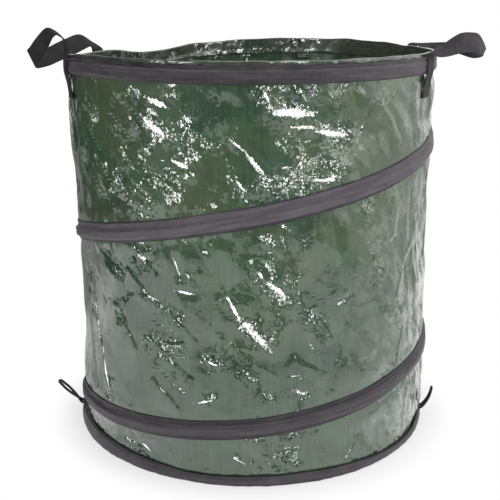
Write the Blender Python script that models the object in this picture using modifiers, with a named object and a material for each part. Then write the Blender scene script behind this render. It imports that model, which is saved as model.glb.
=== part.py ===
"""Pop-up garden waste bag: a tarpaulin cylinder held open by a coiled spring wire.

One wire runs as a ring at the base, a spiral of two turns up the wall and a ring at the rim.
Ribbons sewn over it make its tunnels. Two webbing handles are sewn over the rim, and two
elastic loops at the base hold the bag shut once it is pushed flat.
Metres, +Z up. The origin is the middle of the underside, and the front is towards -Y.
"""

import math

import bmesh
import bpy
from mathutils import Matrix, Vector

# Bag
BAG_HEIGHT = 0.500
WALL_RADIUS = 0.234
WALL_THICK = 0.001
FLOOR_THICK = 0.001
GAP = 0.0003
TURN_STEPS = 72

# Spring wire and the ferrules that close its rings
WIRE_DIAMETER = 0.0025
WIRE_FIT = 0.0003
FERRULE_WALL = 0.0004
FERRULE_LAP = 0.011
BASE_FERRULE_ANGLE = math.radians(120)
RIM_FERRULE_ANGLE = math.radians(875)

# The spiral's climb from the base ring to the rim ring: angle in degrees, share of the climb
SPIRAL_CLIMB = (
    (165, 0.040), (208, 0.082), (270, 0.128), (338, 0.209), (566, 0.570),
    (697, 0.778), (775, 0.900), (815, 0.955), (845, 0.989),
)

# Ribbons
RIBBON_WIDTH = 0.025
RIBBON_THICK = 0.0006
RIBBON_SLOPE = 0.0025
TUNNEL_HEIGHT = 0.0135
NARROW_MARGIN = 0.0015
SLEEVE_TUNNEL = 0.0090
SLEEVE_START = math.radians(150)
SLEEVE_END = math.radians(862)

# Hem, side seam and floor seam inside the bag
HEM_DEPTH = 0.022
HEM_THICK = 0.0008
SEAM_ANGLE = math.radians(70)
SEAM_WIDTH = 0.014
SEAM_THICK = 0.0012
FLOOR_TAPE_HEIGHT = 0.012

# Webbing handles
STRAP_WIDTH = 0.025
STRAP_THICK = 0.0015
STRAP_END_DROP = 0.053
STRAP_EASE = 0.007
LEFT_HANDLE_ANGLE = math.radians(177)
RIGHT_HANDLE_ANGLE = math.radians(357)
HANDLE_HALF_SPAN = math.radians(23)
PIVOT_RISE = 0.007
PIVOT_GAP = 0.00085

# Elastic loops
LOOP_CORD = 0.003
LOOP_SPREAD = 0.0088
LEFT_LOOP_ANGLE = math.radians(188)
LEFT_LOOP_Z = 0.018
LEFT_LOOP_REACH = 0.043
LEFT_LOOP_RISE = math.radians(48)
LEFT_LOOP_TWIST = math.radians(70)
RIGHT_LOOP_ANGLE = math.radians(351)
RIGHT_LOOP_Z = 0.0095
RIGHT_LOOP_REACH = 0.032
RIGHT_LOOP_RISE = math.radians(66)

# Where the pieces lie, worked out from the sizes above
FERRULE_DEPTH = WIRE_DIAMETER + 2 * (WIRE_FIT + FERRULE_WALL)
WIRE_PITCH = WIRE_DIAMETER + GAP
WIRE_RADIUS = WALL_RADIUS + GAP + FERRULE_DEPTH / 2
MARGIN_OUT = WALL_RADIUS + GAP + RIBBON_THICK
TUNNEL_OUT = WALL_RADIUS + 2 * GAP + FERRULE_DEPTH + RIBBON_THICK
LAP_ANGLE = FERRULE_LAP / WIRE_RADIUS
WALL_FOOT = FLOOR_THICK + GAP
BASE_BAND_TOP = WALL_FOOT + RIBBON_WIDTH
RIM_BAND_FOOT = BAG_HEIGHT - RIBBON_WIDTH
BASE_TUNNEL_MID = WALL_FOOT + NARROW_MARGIN + RIBBON_SLOPE + TUNNEL_HEIGHT / 2
RIM_TUNNEL_MID = RIM_BAND_FOOT + NARROW_MARGIN + RIBBON_SLOPE + TUNNEL_HEIGHT / 2
BASE_RING_LOW = BASE_TUNNEL_MID - WIRE_PITCH / 2
BASE_RING_HIGH = BASE_TUNNEL_MID + WIRE_PITCH / 2
RIM_RING_LOW = RIM_TUNNEL_MID - WIRE_PITCH / 2
INNER_FACE = WALL_RADIUS - WALL_THICK - GAP
STRAP_WALL_R = WALL_RADIUS + GAP + STRAP_THICK / 2
STRAP_RIM_R = TUNNEL_OUT + GAP + STRAP_THICK / 2
PIVOT_Z = BAG_HEIGHT + PIVOT_RISE
HALF_CHORD = STRAP_RIM_R * math.sin(HANDLE_HALF_SPAN)
LOOP_R = TUNNEL_OUT + GAP + LOOP_CORD / 2

# Stations along each handle, in its own frame: outwards in metres, along in shares of the
# half chord, up from the pivot in metres, then the direction from one edge to the other.
LEFT_STRAP = (
    ((0.006, 0.92, 0.012), (0.30, -0.94, 0.12)),
    ((0.022, 0.79, 0.016), (0.50, -0.78, 0.38)),
    ((0.039, 0.67, 0.002), (0.83, -0.50, 0.27)),
    ((0.056, 0.45, -0.018), (0.47, -0.30, 0.83)),
    ((0.043, 0.06, -0.016), (0.57, -0.42, 0.70)),
    ((0.028, -0.42, -0.008), (0.44, -0.31, 0.84)),
    ((0.017, -0.72, 0.000), (0.41, -0.50, 0.76)),
    ((0.006, -0.90, 0.006), (0.30, -0.85, 0.43)),
)
RIGHT_STRAP = (
    ((0.005, -0.96, 0.006), (0.10, 0.97, 0.20)),
    ((0.018, -0.86, 0.002), (0.20, 0.70, 0.68)),
    ((0.039, -0.69, 0.001), (0.04, 0.26, 0.97)),
    ((0.056, -0.49, 0.001), (0.00, 0.40, 0.92)),
    ((0.071, -0.21, -0.003), (0.00, 0.45, 0.89)),
    ((0.081, 0.06, -0.013), (0.33, 0.85, 0.40)),
    ((0.072, 0.38, -0.015), (0.52, 0.72, 0.46)),
    ((0.047, 0.69, -0.007), (0.40, 0.83, 0.38)),
    ((0.018, 0.92, 0.004), (0.20, 0.96, 0.16)),
)
STRAP_STEPS = 4


def clear_scene() -> None:
    """Remove every object, so that only the bag is left."""
    for obj in list(bpy.data.objects):
        bpy.data.objects.remove(obj, do_unlink=True)


def make_material(name: str, color: tuple, roughness: float, metallic: float = 0.0):
    """Return a Principled BSDF material."""
    material = bpy.data.materials.new(name)
    material.use_nodes = True
    shader = material.node_tree.nodes["Principled BSDF"]
    shader.inputs["Base Color"].default_value = (*color, 1.0)
    shader.inputs["Roughness"].default_value = roughness
    shader.inputs["Metallic"].default_value = metallic
    material.diffuse_color = (*color, 1.0)
    return material


def link(name: str, data, collection, material):
    """Add an object for this mesh or curve to the collection."""
    obj = bpy.data.objects.new(name, data)
    collection.objects.link(obj)
    data.materials.append(material)
    return obj


def finish_mesh(bm, name: str):
    """Turn a bmesh into a mesh with smooth faces and sharp edges."""
    mesh = bpy.data.meshes.new(name)
    bm.to_mesh(mesh)
    bm.free()
    if mesh.polygons:
        mesh.shade_smooth()
        mesh.set_sharp_from_angle(angle=math.radians(35))
    return mesh


def on_circle(radius: float, angle: float, z: float) -> Vector:
    """Return the point at this radius, angle and height."""
    return Vector((radius * math.cos(angle), radius * math.sin(angle), z))


def solidify(obj, thickness: float, offset: float) -> None:
    """Give an open surface its thickness."""
    modifier = obj.modifiers.new("Thickness", "SOLIDIFY")
    modifier.thickness = thickness
    modifier.offset = offset
    modifier.use_even_offset = True


def turned_shell(name: str, profile, thickness: float, collection, material):
    """Turn an open profile, given as (radius, height) from the top down, into a thin shell.

    The profile is the shell's outer face, and the thickness goes inwards.
    """
    bm = bmesh.new()
    verts = [bm.verts.new((radius, 0, z)) for radius, z in profile]
    for first, second in zip(verts, verts[1:]):
        bm.edges.new((first, second))
    obj = link(name, finish_mesh(bm, name), collection, material)
    screw = obj.modifiers.new("Turn", "SCREW")
    screw.axis = "Z"
    screw.steps = screw.render_steps = TURN_STEPS
    screw.use_merge_vertices = True
    screw.merge_threshold = 0.00001
    solidify(obj, thickness, -1)
    return obj


def band_profile(foot: float, low_margin: float, tunnel: float):
    """Return a ribbon's outer face from the top down: margin, tunnel over the wire, margin."""
    top = foot + RIBBON_WIDTH
    low = foot + low_margin
    high = low + 2 * RIBBON_SLOPE + tunnel
    return (
        (MARGIN_OUT, top), (MARGIN_OUT, high), (TUNNEL_OUT, high - RIBBON_SLOPE),
        (TUNNEL_OUT, low + RIBBON_SLOPE), (MARGIN_OUT, low), (MARGIN_OUT, foot),
    )


def climb_height(angle: float) -> float:
    """Return the spiral wire's height at this unwound angle, by cubic pieces between the stations."""
    start = BASE_FERRULE_ANGLE + LAP_ANGLE
    end = RIM_FERRULE_ANGLE - LAP_ANGLE
    climb = RIM_RING_LOW - BASE_RING_HIGH
    knots = [(start, 0.0), (start + LAP_ANGLE, 0.0)]
    knots += [(math.radians(degrees), share) for degrees, share in SPIRAL_CLIMB]
    knots += [(end - LAP_ANGLE, 1.0), (end, 1.0)]
    angle = min(max(angle, start), end)
    i = max(k for k in range(len(knots) - 1) if knots[k][0] <= angle)

    def slope(k: int) -> float:
        before, after = knots[max(k - 1, 0)], knots[min(k + 1, len(knots) - 1)]
        if knots[k][1] in (0.0, 1.0):
            return 0.0
        return (after[1] - before[1]) / (after[0] - before[0])

    (a0, s0), (a1, s1) = knots[i], knots[i + 1]
    width = a1 - a0
    t = (angle - a0) / width
    share = (
        (2 * t**3 - 3 * t**2 + 1) * s0 + (t**3 - 2 * t**2 + t) * width * slope(i)
        + (3 * t**2 - 2 * t**3) * s1 + (t**3 - t**2) * width * slope(i + 1)
    )
    return BASE_RING_HIGH + climb * share


def angles_between(start: float, end: float):
    """Return angles about one turning step apart, both ends included."""
    count = max(2, round((end - start) / (2 * math.pi / TURN_STEPS)))
    return [start + (end - start) * i / count for i in range(count + 1)]


def wire_curve(name: str, points, diameter: float, collection, material, resolution: int = 2,
               radii=None):
    """Return a round bar with filled ends along these points."""
    curve = bpy.data.curves.new(name, "CURVE")
    curve.dimensions = "3D"
    curve.bevel_depth = diameter / 2
    curve.bevel_resolution = resolution
    curve.use_fill_caps = True
    spline = curve.splines.new("POLY")
    spline.points.add(len(points) - 1)
    for i, point in enumerate(points):
        spline.points[i].co = (*point, 1.0)
        spline.points[i].radius = radii[i] if radii else 1.0
    spline.use_smooth = True
    return link(name, curve, collection, material)


def curve_to_mesh(obj):
    """Replace a curve object with its closed mesh."""
    graph = bpy.context.evaluated_depsgraph_get()
    mesh = bpy.data.meshes.new_from_object(obj.evaluated_get(graph))
    bm = bmesh.new()
    bm.from_mesh(mesh)
    bmesh.ops.remove_doubles(bm, verts=bm.verts, dist=0.00001)
    bmesh.ops.recalc_face_normals(bm, faces=bm.faces)
    bm.to_mesh(mesh)
    bm.free()
    name, home = obj.name, obj.users_collection[0]
    bpy.data.objects.remove(obj, do_unlink=True)
    solid = bpy.data.objects.new(name, mesh)
    home.objects.link(solid)
    return solid


def as_cutter(obj):
    """Keep a cutter out of the render."""
    obj.hide_render = True
    obj.display_type = "WIRE"
    return obj


def cut(obj, cutter, operation: str = "DIFFERENCE") -> None:
    """Add a Boolean with this cutter."""
    modifier = obj.modifiers.new("Cut " + cutter.name, "BOOLEAN")
    modifier.operation = operation
    modifier.object = cutter
    modifier.solver = "EXACT"


def sweep(bm, line, places, closed: bool) -> None:
    """Draw a line of (outwards, up) points through a list of frames."""
    verts = [bm.verts.new(places[0] @ Vector((out, 0, up))) for out, up in line]
    edges = [bm.edges.new(pair) for pair in zip(verts, verts[1:])]
    if closed:
        edges.append(bm.edges.new((verts[-1], verts[0])))
    for before, after in zip(places, places[1:]):
        made = bmesh.ops.extrude_edge_only(bm, edges=edges)["geom"]
        fresh = {item for item in made if isinstance(item, bmesh.types.BMVert)}
        edges = [
            item for item in made
            if isinstance(item, bmesh.types.BMEdge) and fresh.issuperset(item.verts)
        ]
        bmesh.ops.transform(bm, matrix=after @ before.inverted(), verts=list(fresh))


def swept_solid(name: str, outline, places, collection, material):
    """Sweep a closed outline through a list of frames, and close both its ends."""
    bm = bmesh.new()
    sweep(bm, outline, places, closed=True)
    bmesh.ops.holes_fill(bm, edges=bm.edges)
    bmesh.ops.recalc_face_normals(bm, faces=bm.faces)
    return link(name, finish_mesh(bm, name), collection, material)


def swept_strip(name: str, line, places, thickness: float, offset: float, collection, material):
    """Sweep an open line through a list of frames, and thicken the strip."""
    bm = bmesh.new()
    sweep(bm, line, places, closed=False)
    obj = link(name, finish_mesh(bm, name), collection, material)
    solidify(obj, thickness, offset)
    return obj


def ring_frame(angle: float, z: float, radius: float = 0.0) -> Matrix:
    """Return the frame whose X points outwards at this angle."""
    return Matrix.Translation(on_circle(radius, angle, z)) @ Matrix.Rotation(angle, 4, "Z")


def stadium(width: float, height: float, steps: int = 5):
    """Return a closed outline with round ends above and below."""
    radius = width / 2
    straight = height / 2 - radius
    points = []
    for side in (1, -1):
        for i in range(steps + 1):
            turn = math.pi * i / steps + (0 if side > 0 else math.pi)
            points.append((radius * math.cos(turn), side * straight + radius * math.sin(turn)))
    return points


def add_ferrule(name: str, start: float, mid_height: float, parts, cutters, metal):
    """Add the crimped oval tube that holds the ring's end beside the wire that leaves it."""
    end = start + 3 * LAP_ANGLE
    bore_width = WIRE_DIAMETER + 2 * WIRE_FIT
    bore_height = bore_width + WIRE_PITCH
    outer = stadium(bore_width + 2 * FERRULE_WALL, bore_height + 2 * FERRULE_WALL)
    places = [
        ring_frame(start + (end - start) * i / 4, mid_height, WIRE_RADIUS) for i in range(5)
    ]
    past = [
        ring_frame(start + (end - start) * (i - 1) / 4, mid_height, WIRE_RADIUS)
        for i in range(7)
    ]
    ferrule = swept_solid(name, outer, places, parts, metal)
    bore = swept_solid(name + "_bore", stadium(bore_width, bore_height), past, cutters, metal)
    cut(ferrule, as_cutter(bore))
    return ferrule


def catmull_rom(points, steps: int):
    """Return a smooth run through these vectors, with this many steps between each two."""
    ends = [points[0] * 2 - points[1], *points, points[-1] * 2 - points[-2]]
    run = []
    for a, b, c, d in zip(ends, ends[1:], ends[2:], ends[3:]):
        for i in range(steps):
            t = i / steps
            run.append(0.5 * (
                b * 2 + (c - a) * t + (a * 2 - b * 5 + c * 4 - d) * t**2
                + (b * 3 - a - c * 3 + d) * t**3
            ))
    run.append(points[-1])
    return run


def webbing(name: str, stations, steps: int, collection, material):
    """Loft a strap through stations of (middle, direction across), and thicken it both ways.

    The stations turn as the strap twists, so its faces join them one by one.
    """
    first = [middle + across.normalized() * (STRAP_WIDTH / 2) for middle, across in stations]
    second = [middle - across.normalized() * (STRAP_WIDTH / 2) for middle, across in stations]
    bm = bmesh.new()
    pairs = [
        (bm.verts.new(a), bm.verts.new(b))
        for a, b in zip(catmull_rom(first, steps), catmull_rom(second, steps))
    ]
    for (a0, b0), (a1, b1) in zip(pairs, pairs[1:]):
        bm.faces.new((a0, b0, b1, a1))
    obj = link(name, finish_mesh(bm, name), collection, material)
    solidify(obj, STRAP_THICK, 0)
    return obj


def handle_frame(angle: float) -> Matrix:
    """Return a handle's frame: X outwards, Y along the pivot line, Z up, on the pivot's middle."""
    reach = STRAP_RIM_R * math.cos(HANDLE_HALF_SPAN)
    return ring_frame(angle, PIVOT_Z, reach)


def add_strap_end(name: str, handle_angle: float, side: int, parts, material):
    """Add a strap's sewn end: up the wall, over the rim's tunnel, then turned to the pivot line."""
    angle = handle_angle + side * HANDLE_HALF_SPAN
    tangent = Vector((-math.sin(angle), math.cos(angle), 0))
    along = Vector((-math.sin(handle_angle), math.cos(handle_angle), 0))
    foot = BAG_HEIGHT - STRAP_END_DROP
    route = (
        (STRAP_WALL_R, foot), (STRAP_WALL_R, RIM_BAND_FOOT - STRAP_EASE),
        (STRAP_RIM_R, RIM_BAND_FOOT + NARROW_MARGIN + RIBBON_SLOPE),
        (STRAP_RIM_R, BAG_HEIGHT),
    )
    stations = [(on_circle(radius, angle, z), tangent) for radius, z in route]
    top = PIVOT_Z - PIVOT_GAP
    stations.append((on_circle(STRAP_RIM_R, angle, top), along))
    return webbing(name, stations, 1, parts, material)


def add_handle(name: str, angle: float, table, parts, material):
    """Add a handle's free loop, which hinges on the line through its two sewn ends."""
    frame = handle_frame(angle)
    turn = frame.to_3x3()
    sign = 1 if table[0][0][1] > 0 else -1
    ends = [Vector((0, side * HALF_CHORD, 0)) for side in (sign, -sign)]
    across = Vector((0, -sign, 0))
    middle = [
        (Vector((out, share * HALF_CHORD, up)), Vector(way)) for (out, share, up), way in table
    ]
    local = [(ends[0], across), *middle, (ends[1], across)]
    stations = [(frame @ point, turn @ way) for point, way in local]
    return webbing(name, stations, STRAP_STEPS, parts, material)


def loop_points(angle: float, height: float, reach: float, rise: float, twist: float):
    """Return an elastic loop's middle line: out from the ribbon, round its tip and back.

    Its two ends lie level with each other, and it turns on its own length by the twist.
    """
    frame = ring_frame(angle, height, LOOP_R)
    half = LOOP_SPREAD / 2
    shape = ((0, 1), (0.2, 0.92), (0.42, 0.80), (0.64, 0.72), (0.82, 0.60), (0.95, 0.32))
    points = []
    for side in (1, -1):
        for far, wide in shape if side > 0 else reversed(shape):
            turned = twist * min(1.0, far / 0.6)
            flat = Vector((far * reach, side * wide * half * math.cos(turned),
                           side * wide * half * math.sin(turned)))
            points.append(frame @ (Matrix.Rotation(-rise, 4, "Y") @ flat))
        if side > 0:
            points.append(frame @ (Matrix.Rotation(-rise, 4, "Y") @ Vector((reach, 0, 0))))
    return points


def add_loop(name: str, angle: float, height: float, reach: float, rise: float, twist: float,
             parts, material):
    """Add an elastic loop, whose ends are rounded so that it can turn on the ribbon."""
    run = catmull_rom(loop_points(angle, height, reach, rise, twist), 2)
    start, end = run[0], run[-1]
    inwards = -Vector((math.cos(angle), math.sin(angle), 0)) * (LOOP_CORD / 2)
    turn = Matrix.Rotation(-rise, 3, Vector((-math.sin(angle), math.cos(angle), 0)))
    inwards = turn @ inwards
    caps = ((0.92, 0.36), (0.62, 0.78))
    run = (
        [start + inwards * far for far, _ in caps] + run
        + [end + inwards * far for far, _ in reversed(caps)]
    )
    radii = [size for _, size in caps] + [1.0] * (len(run) - 2 * len(caps))
    radii += [size for _, size in reversed(caps)]
    return wire_curve(name, run, LOOP_CORD, parts, material, 2, radii)


def build() -> None:
    """Make every piece of the bag."""
    clear_scene()
    parts = bpy.data.collections.new("pop_up_garden_bag")
    cutters = bpy.data.collections.new("cutters")
    for collection in (parts, cutters):
        bpy.context.scene.collection.children.link(collection)

    tarpaulin = make_material("tarpaulin", (0.045, 0.085, 0.045), 0.35)
    hem_cloth = make_material("hem_cloth", (0.06, 0.09, 0.065), 0.45)
    ribbon = make_material("ribbon", (0.090, 0.082, 0.090), 0.55)
    webbing_cloth = make_material("webbing", (0.030, 0.028, 0.030), 0.7)
    elastic = make_material("elastic_cord", (0.018, 0.016, 0.018), 0.75)
    steel = make_material("spring_steel", (0.45, 0.45, 0.46), 0.3, 1.0)
    crimp = make_material("crimp_metal", (0.62, 0.62, 0.63), 0.35, 1.0)

    # Floor, wall and the seams inside
    bm = bmesh.new()
    bmesh.ops.create_cone(
        bm, cap_ends=True, segments=TURN_STEPS, radius1=MARGIN_OUT, radius2=MARGIN_OUT,
        depth=FLOOR_THICK, matrix=Matrix.Translation((0, 0, FLOOR_THICK / 2)),
    )
    link("base_disc", finish_mesh(bm, "base_disc"), parts, tarpaulin)
    turned_shell(
        "wall_panel", ((WALL_RADIUS, BAG_HEIGHT), (WALL_RADIUS, WALL_FOOT)), WALL_THICK,
        parts, tarpaulin,
    )
    turned_shell(
        "base_seam_tape", ((INNER_FACE, WALL_FOOT + FLOOR_TAPE_HEIGHT), (INNER_FACE, WALL_FOOT)),
        HEM_THICK, parts, hem_cloth,
    )
    turned_shell(
        "rim_hem", ((INNER_FACE, BAG_HEIGHT), (INNER_FACE, BAG_HEIGHT - HEM_DEPTH)), HEM_THICK,
        parts, hem_cloth,
    )
    seam_top = BAG_HEIGHT - HEM_DEPTH - GAP
    seam_foot = WALL_FOOT + FLOOR_TAPE_HEIGHT + GAP
    seam_half = SEAM_WIDTH / 2 / INNER_FACE
    seam_inner = INNER_FACE - SEAM_THICK
    swept_solid(
        "side_seam",
        ((INNER_FACE, seam_foot), (INNER_FACE, seam_top),
         (seam_inner, seam_top), (seam_inner, seam_foot)),
        [ring_frame(SEAM_ANGLE + seam_half * (i - 1), 0) for i in range(3)],
        parts, hem_cloth,
    )

    # Spring wire: base ring, spiral, rim ring, each ring a full turn with its ends lapped
    turn = 2 * math.pi

    def ring_points(first: float, low: float):
        return [
            on_circle(WIRE_RADIUS, a, low + WIRE_PITCH * (a - first) / turn)
            for a in angles_between(first, first + turn + 2 * LAP_ANGLE)
        ]

    base_start = BASE_FERRULE_ANGLE - LAP_ANGLE
    rim_start = RIM_FERRULE_ANGLE - LAP_ANGLE
    wire_curve("base_ring_wire", ring_points(base_start, BASE_RING_LOW), WIRE_DIAMETER,
               parts, steel, 1)
    wire_curve("rim_ring_wire", ring_points(rim_start, RIM_RING_LOW), WIRE_DIAMETER,
               parts, steel, 1)
    gap_angle = GAP / WIRE_RADIUS
    spiral_start = BASE_FERRULE_ANGLE + LAP_ANGLE + gap_angle
    spiral_end = rim_start - gap_angle
    climbing = angles_between(spiral_start + LAP_ANGLE, spiral_end - LAP_ANGLE)
    spiral = [
        on_circle(WIRE_RADIUS, a, climb_height(a))
        for a in (spiral_start, *climbing, spiral_end)
    ]
    wire_curve("spiral_wire", spiral, WIRE_DIAMETER, parts, steel, 1)
    add_ferrule("lower_ferrule", base_start, BASE_TUNNEL_MID, parts, cutters, crimp)
    add_ferrule("upper_ferrule", rim_start - LAP_ANGLE, RIM_TUNNEL_MID, parts, cutters, crimp)

    # Ribbons over the rings, each open where the spiral passes its edge
    base_band = turned_shell(
        "base_band", band_profile(WALL_FOOT, NARROW_MARGIN, TUNNEL_HEIGHT), RIBBON_THICK,
        parts, ribbon,
    )
    rim_band = turned_shell(
        "rim_band", band_profile(RIM_BAND_FOOT, NARROW_MARGIN, TUNNEL_HEIGHT), RIBBON_THICK,
        parts, ribbon,
    )
    room = WIRE_DIAMETER / 2 + GAP
    leaving = [p for p in spiral if BASE_RING_HIGH + 0.001 < p.z < BASE_BAND_TOP + 2 * room]
    arriving = [p for p in spiral if RIM_BAND_FOOT - 2 * room < p.z < RIM_RING_LOW - 0.001]
    for band, stretch in ((base_band, leaving), (rim_band, arriving)):
        slot = wire_curve(band.name + "_slot", stretch, 2 * room, cutters, steel, 1)
        cut(band, as_cutter(curve_to_mesh(slot)))

    # The spiral's ribbon, trimmed where it runs under the rim's ribbon and the base's
    low_margin = (RIBBON_WIDTH - SLEEVE_TUNNEL) / 2 - RIBBON_SLOPE
    section = [
        (radius, z - RIBBON_WIDTH / 2)
        for radius, z in band_profile(0.0, low_margin, SLEEVE_TUNNEL)
    ]
    sleeve = swept_strip(
        "spiral_sleeve", section,
        [ring_frame(a, climb_height(a)) for a in angles_between(SLEEVE_START, SLEEVE_END)],
        RIBBON_THICK, -1, parts, ribbon,
    )
    low, high = BASE_BAND_TOP + GAP, RIM_BAND_FOOT - GAP
    bm = bmesh.new()
    bmesh.ops.create_cone(
        bm, cap_ends=True, segments=16, radius1=WALL_RADIUS * 1.3, radius2=WALL_RADIUS * 1.3,
        depth=high - low, matrix=Matrix.Translation((0, 0, (high + low) / 2)),
    )
    between = link("between_bands", finish_mesh(bm, "between_bands"), cutters, ribbon)
    cut(sleeve, as_cutter(between), "INTERSECT")

    # Handles: four sewn ends and two loops
    for side_name, angle, front in (
        ("left", LEFT_HANDLE_ANGLE, 1), ("right", RIGHT_HANDLE_ANGLE, -1),
    ):
        add_strap_end(side_name + "_strap_end_front", angle, front, parts, webbing_cloth)
        add_strap_end(side_name + "_strap_end_rear", angle, -front, parts, webbing_cloth)
    add_handle("left_handle", LEFT_HANDLE_ANGLE, LEFT_STRAP, parts, webbing_cloth)
    add_handle("right_handle", RIGHT_HANDLE_ANGLE, RIGHT_STRAP, parts, webbing_cloth)

    # Elastic loops on the base ribbon
    add_loop("left_loop", LEFT_LOOP_ANGLE, LEFT_LOOP_Z, LEFT_LOOP_REACH, LEFT_LOOP_RISE,
             LEFT_LOOP_TWIST, parts, elastic)
    add_loop("right_loop", RIGHT_LOOP_ANGLE, RIGHT_LOOP_Z, RIGHT_LOOP_REACH, RIGHT_LOOP_RISE,
             0.0, parts, elastic)


build()
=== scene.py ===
"""Pop-up garden waste bag: the sewn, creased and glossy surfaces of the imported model.

Every piece is made in place, in metres, in the frame of the CAD model: +Z up, the front towards
-Y, the origin in the middle of the underside. Angles run counter-clockwise from +X as seen from
above, so the front of the bag is at 270 degrees.
"""

import logging
import math
from collections.abc import Callable, Iterator
from contextlib import contextmanager
from dataclasses import dataclass
from enum import Enum

import bmesh
import bpy
import numpy as np
from mathutils import Matrix, Vector


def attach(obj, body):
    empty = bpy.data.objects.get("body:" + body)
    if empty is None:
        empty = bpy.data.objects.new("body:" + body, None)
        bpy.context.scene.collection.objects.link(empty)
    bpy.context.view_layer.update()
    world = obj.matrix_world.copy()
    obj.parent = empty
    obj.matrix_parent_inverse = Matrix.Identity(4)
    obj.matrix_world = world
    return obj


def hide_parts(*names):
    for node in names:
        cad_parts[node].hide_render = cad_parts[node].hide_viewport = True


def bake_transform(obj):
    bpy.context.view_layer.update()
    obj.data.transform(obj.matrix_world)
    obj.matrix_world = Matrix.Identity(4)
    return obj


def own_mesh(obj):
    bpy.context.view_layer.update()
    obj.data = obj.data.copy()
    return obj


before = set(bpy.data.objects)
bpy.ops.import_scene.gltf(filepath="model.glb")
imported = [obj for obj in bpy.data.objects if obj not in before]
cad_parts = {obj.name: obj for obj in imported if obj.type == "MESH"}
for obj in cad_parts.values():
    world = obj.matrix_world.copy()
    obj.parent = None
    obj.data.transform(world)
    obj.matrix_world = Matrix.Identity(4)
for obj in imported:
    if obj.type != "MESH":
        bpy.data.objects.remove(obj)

log = logging.getLogger("garden_bag")
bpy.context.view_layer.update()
TURN = 2 * math.pi
MM = 1000

# Points closer than the first distance in metres are joined, edges shorter than the second go
JOIN = 0.000005
TINY = 0.000002

Array = np.ndarray
Mesh = bpy.types.Mesh
Piece = bpy.types.Object
Material = bpy.types.Material
Socket = bpy.types.NodeSocket
Value = Socket | float | tuple
Placing = Callable[[Array, Array], tuple[Array, Array]]


# Sizes that the pieces share


@dataclass(frozen=True)
class BagSizes:
    """The bag's main sizes in metres, as in the CAD model, and its angles.

    Each handle's sewn ends are given in degrees, the front one first.
    """

    wall: float = 0.234
    wall_foot: float = 0.0013
    margin: float = 0.2349
    wire: float = 0.23625
    wire_diameter: float = 0.0025
    ribbon: float = 0.025
    ribbon_thick: float = 0.0006
    cloth: float = 0.00035
    base_ribbon_top: float = 0.0263
    rim_ribbon_foot: float = 0.475
    fold: float = 0.41
    seam_angle: float = math.radians(70)
    left_strap: tuple = (200, 154)
    right_strap: tuple = (334, 20)


SIZES = BagSizes()


# Numbers that vary over a surface


def scattered(column: Array, row: Array, seed: int) -> Array:
    """Return a fixed, random-looking number from 0 to 1 for each pair of whole numbers.

    Args:
        column: Whole numbers, one for each point.
        row: Whole numbers, one for each point.
        seed: Chooses among the patterns.

    Returns:
        The numbers, one for each point.
    """
    mixed = (
        column.astype(np.int64) * 73856093 ^ row.astype(np.int64) * 19349663 ^ seed * 83492791
    ) & 0xFFFFFFFF
    for shift, factor in ((16, 0x45D9F3B), (15, 0x2C1B3C6D), (16, 0x297A2D39)):
        mixed = ((mixed ^ (mixed >> shift)) * factor) & 0xFFFFFFFF
    return mixed / 0xFFFFFFFF


def eased(value: Array) -> Array:
    """Return values held between 0 and 1, with a smooth start and end."""
    held = np.clip(value, 0.0, 1.0)
    return held * held * (3.0 - 2.0 * held)


def from_table(table: tuple, angle: Array) -> Array:
    """Return the values at these angles from a table of (degrees, value) round the bag."""
    at, value = np.array(table).T
    return np.interp(np.degrees(angle), at, value, period=360.0)


@dataclass(frozen=True)
class WrappedPattern:
    """A pattern over the bag's side that closes on itself behind."""

    girth: float = TURN * SIZES.wall

    def lattice(self, u: Array, v: Array, cell: float, tall: float, lean: float) -> tuple:
        """Return the cells of a leaning lattice that hold these points.

        Args:
            u: Lengths round the bag in metres.
            v: Heights in metres.
            cell: The width of a cell in metres.
            tall: The height of a cell in cell widths.
            lean: How far a column shifts for each metre of height.

        Returns:
            Column, row, share across, share up, and the number of columns.
        """
        columns = max(3, round(self.girth / cell))
        x = (u + lean * v) / self.girth * columns
        y = v / (cell * tall)
        column, row = np.floor(x), np.floor(y)
        return column, row, x - column, y - row, columns

    def soft(self, u: Array, v: Array, cell: float, seed: int, tall: float = 1.0,
             lean: float = 0.0) -> Array:
        """Return smooth noise from -1 to 1 with cells of this size."""
        column, row, f, g, columns = self.lattice(u, v, cell, tall, lean)
        f, g = eased(f), eased(g)
        corner = [
            scattered((column + i) % columns, row + j, seed) for j in (0, 1) for i in (0, 1)
        ]
        low = corner[0] + (corner[1] - corner[0]) * f
        high = corner[2] + (corner[3] - corner[2]) * f
        return (low + (high - low) * g) * 2 - 1

    def creased(self, u: Array, v: Array, cell: float, seed: int, tall: float = 1.0,
                lean: float = 0.0) -> Array:
        """Return flat facets that meet in sharp creases, from -1 to 1."""
        column, row, f, g, columns = self.lattice(u, v, cell, tall, lean)
        a, b, c, d = (
            scattered((column + i) % columns, row + j, seed) * 2 - 1
            for j in (0, 1) for i in (0, 1)
        )
        flip = scattered(column % columns, row, seed + 7) > 0.42
        rising = np.where(f > g, a + (b - a) * f + (d - b) * g, a + (c - a) * g + (d - c) * f)
        falling = np.where(
            f + g < 1, a + (b - a) * f + (c - a) * g,
            d + (c - d) * (1 - f) + (b - d) * (1 - g),
        )
        return np.where(flip, falling, rising)


PATTERN = WrappedPattern()


# Lines and dents that several pieces follow


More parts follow.
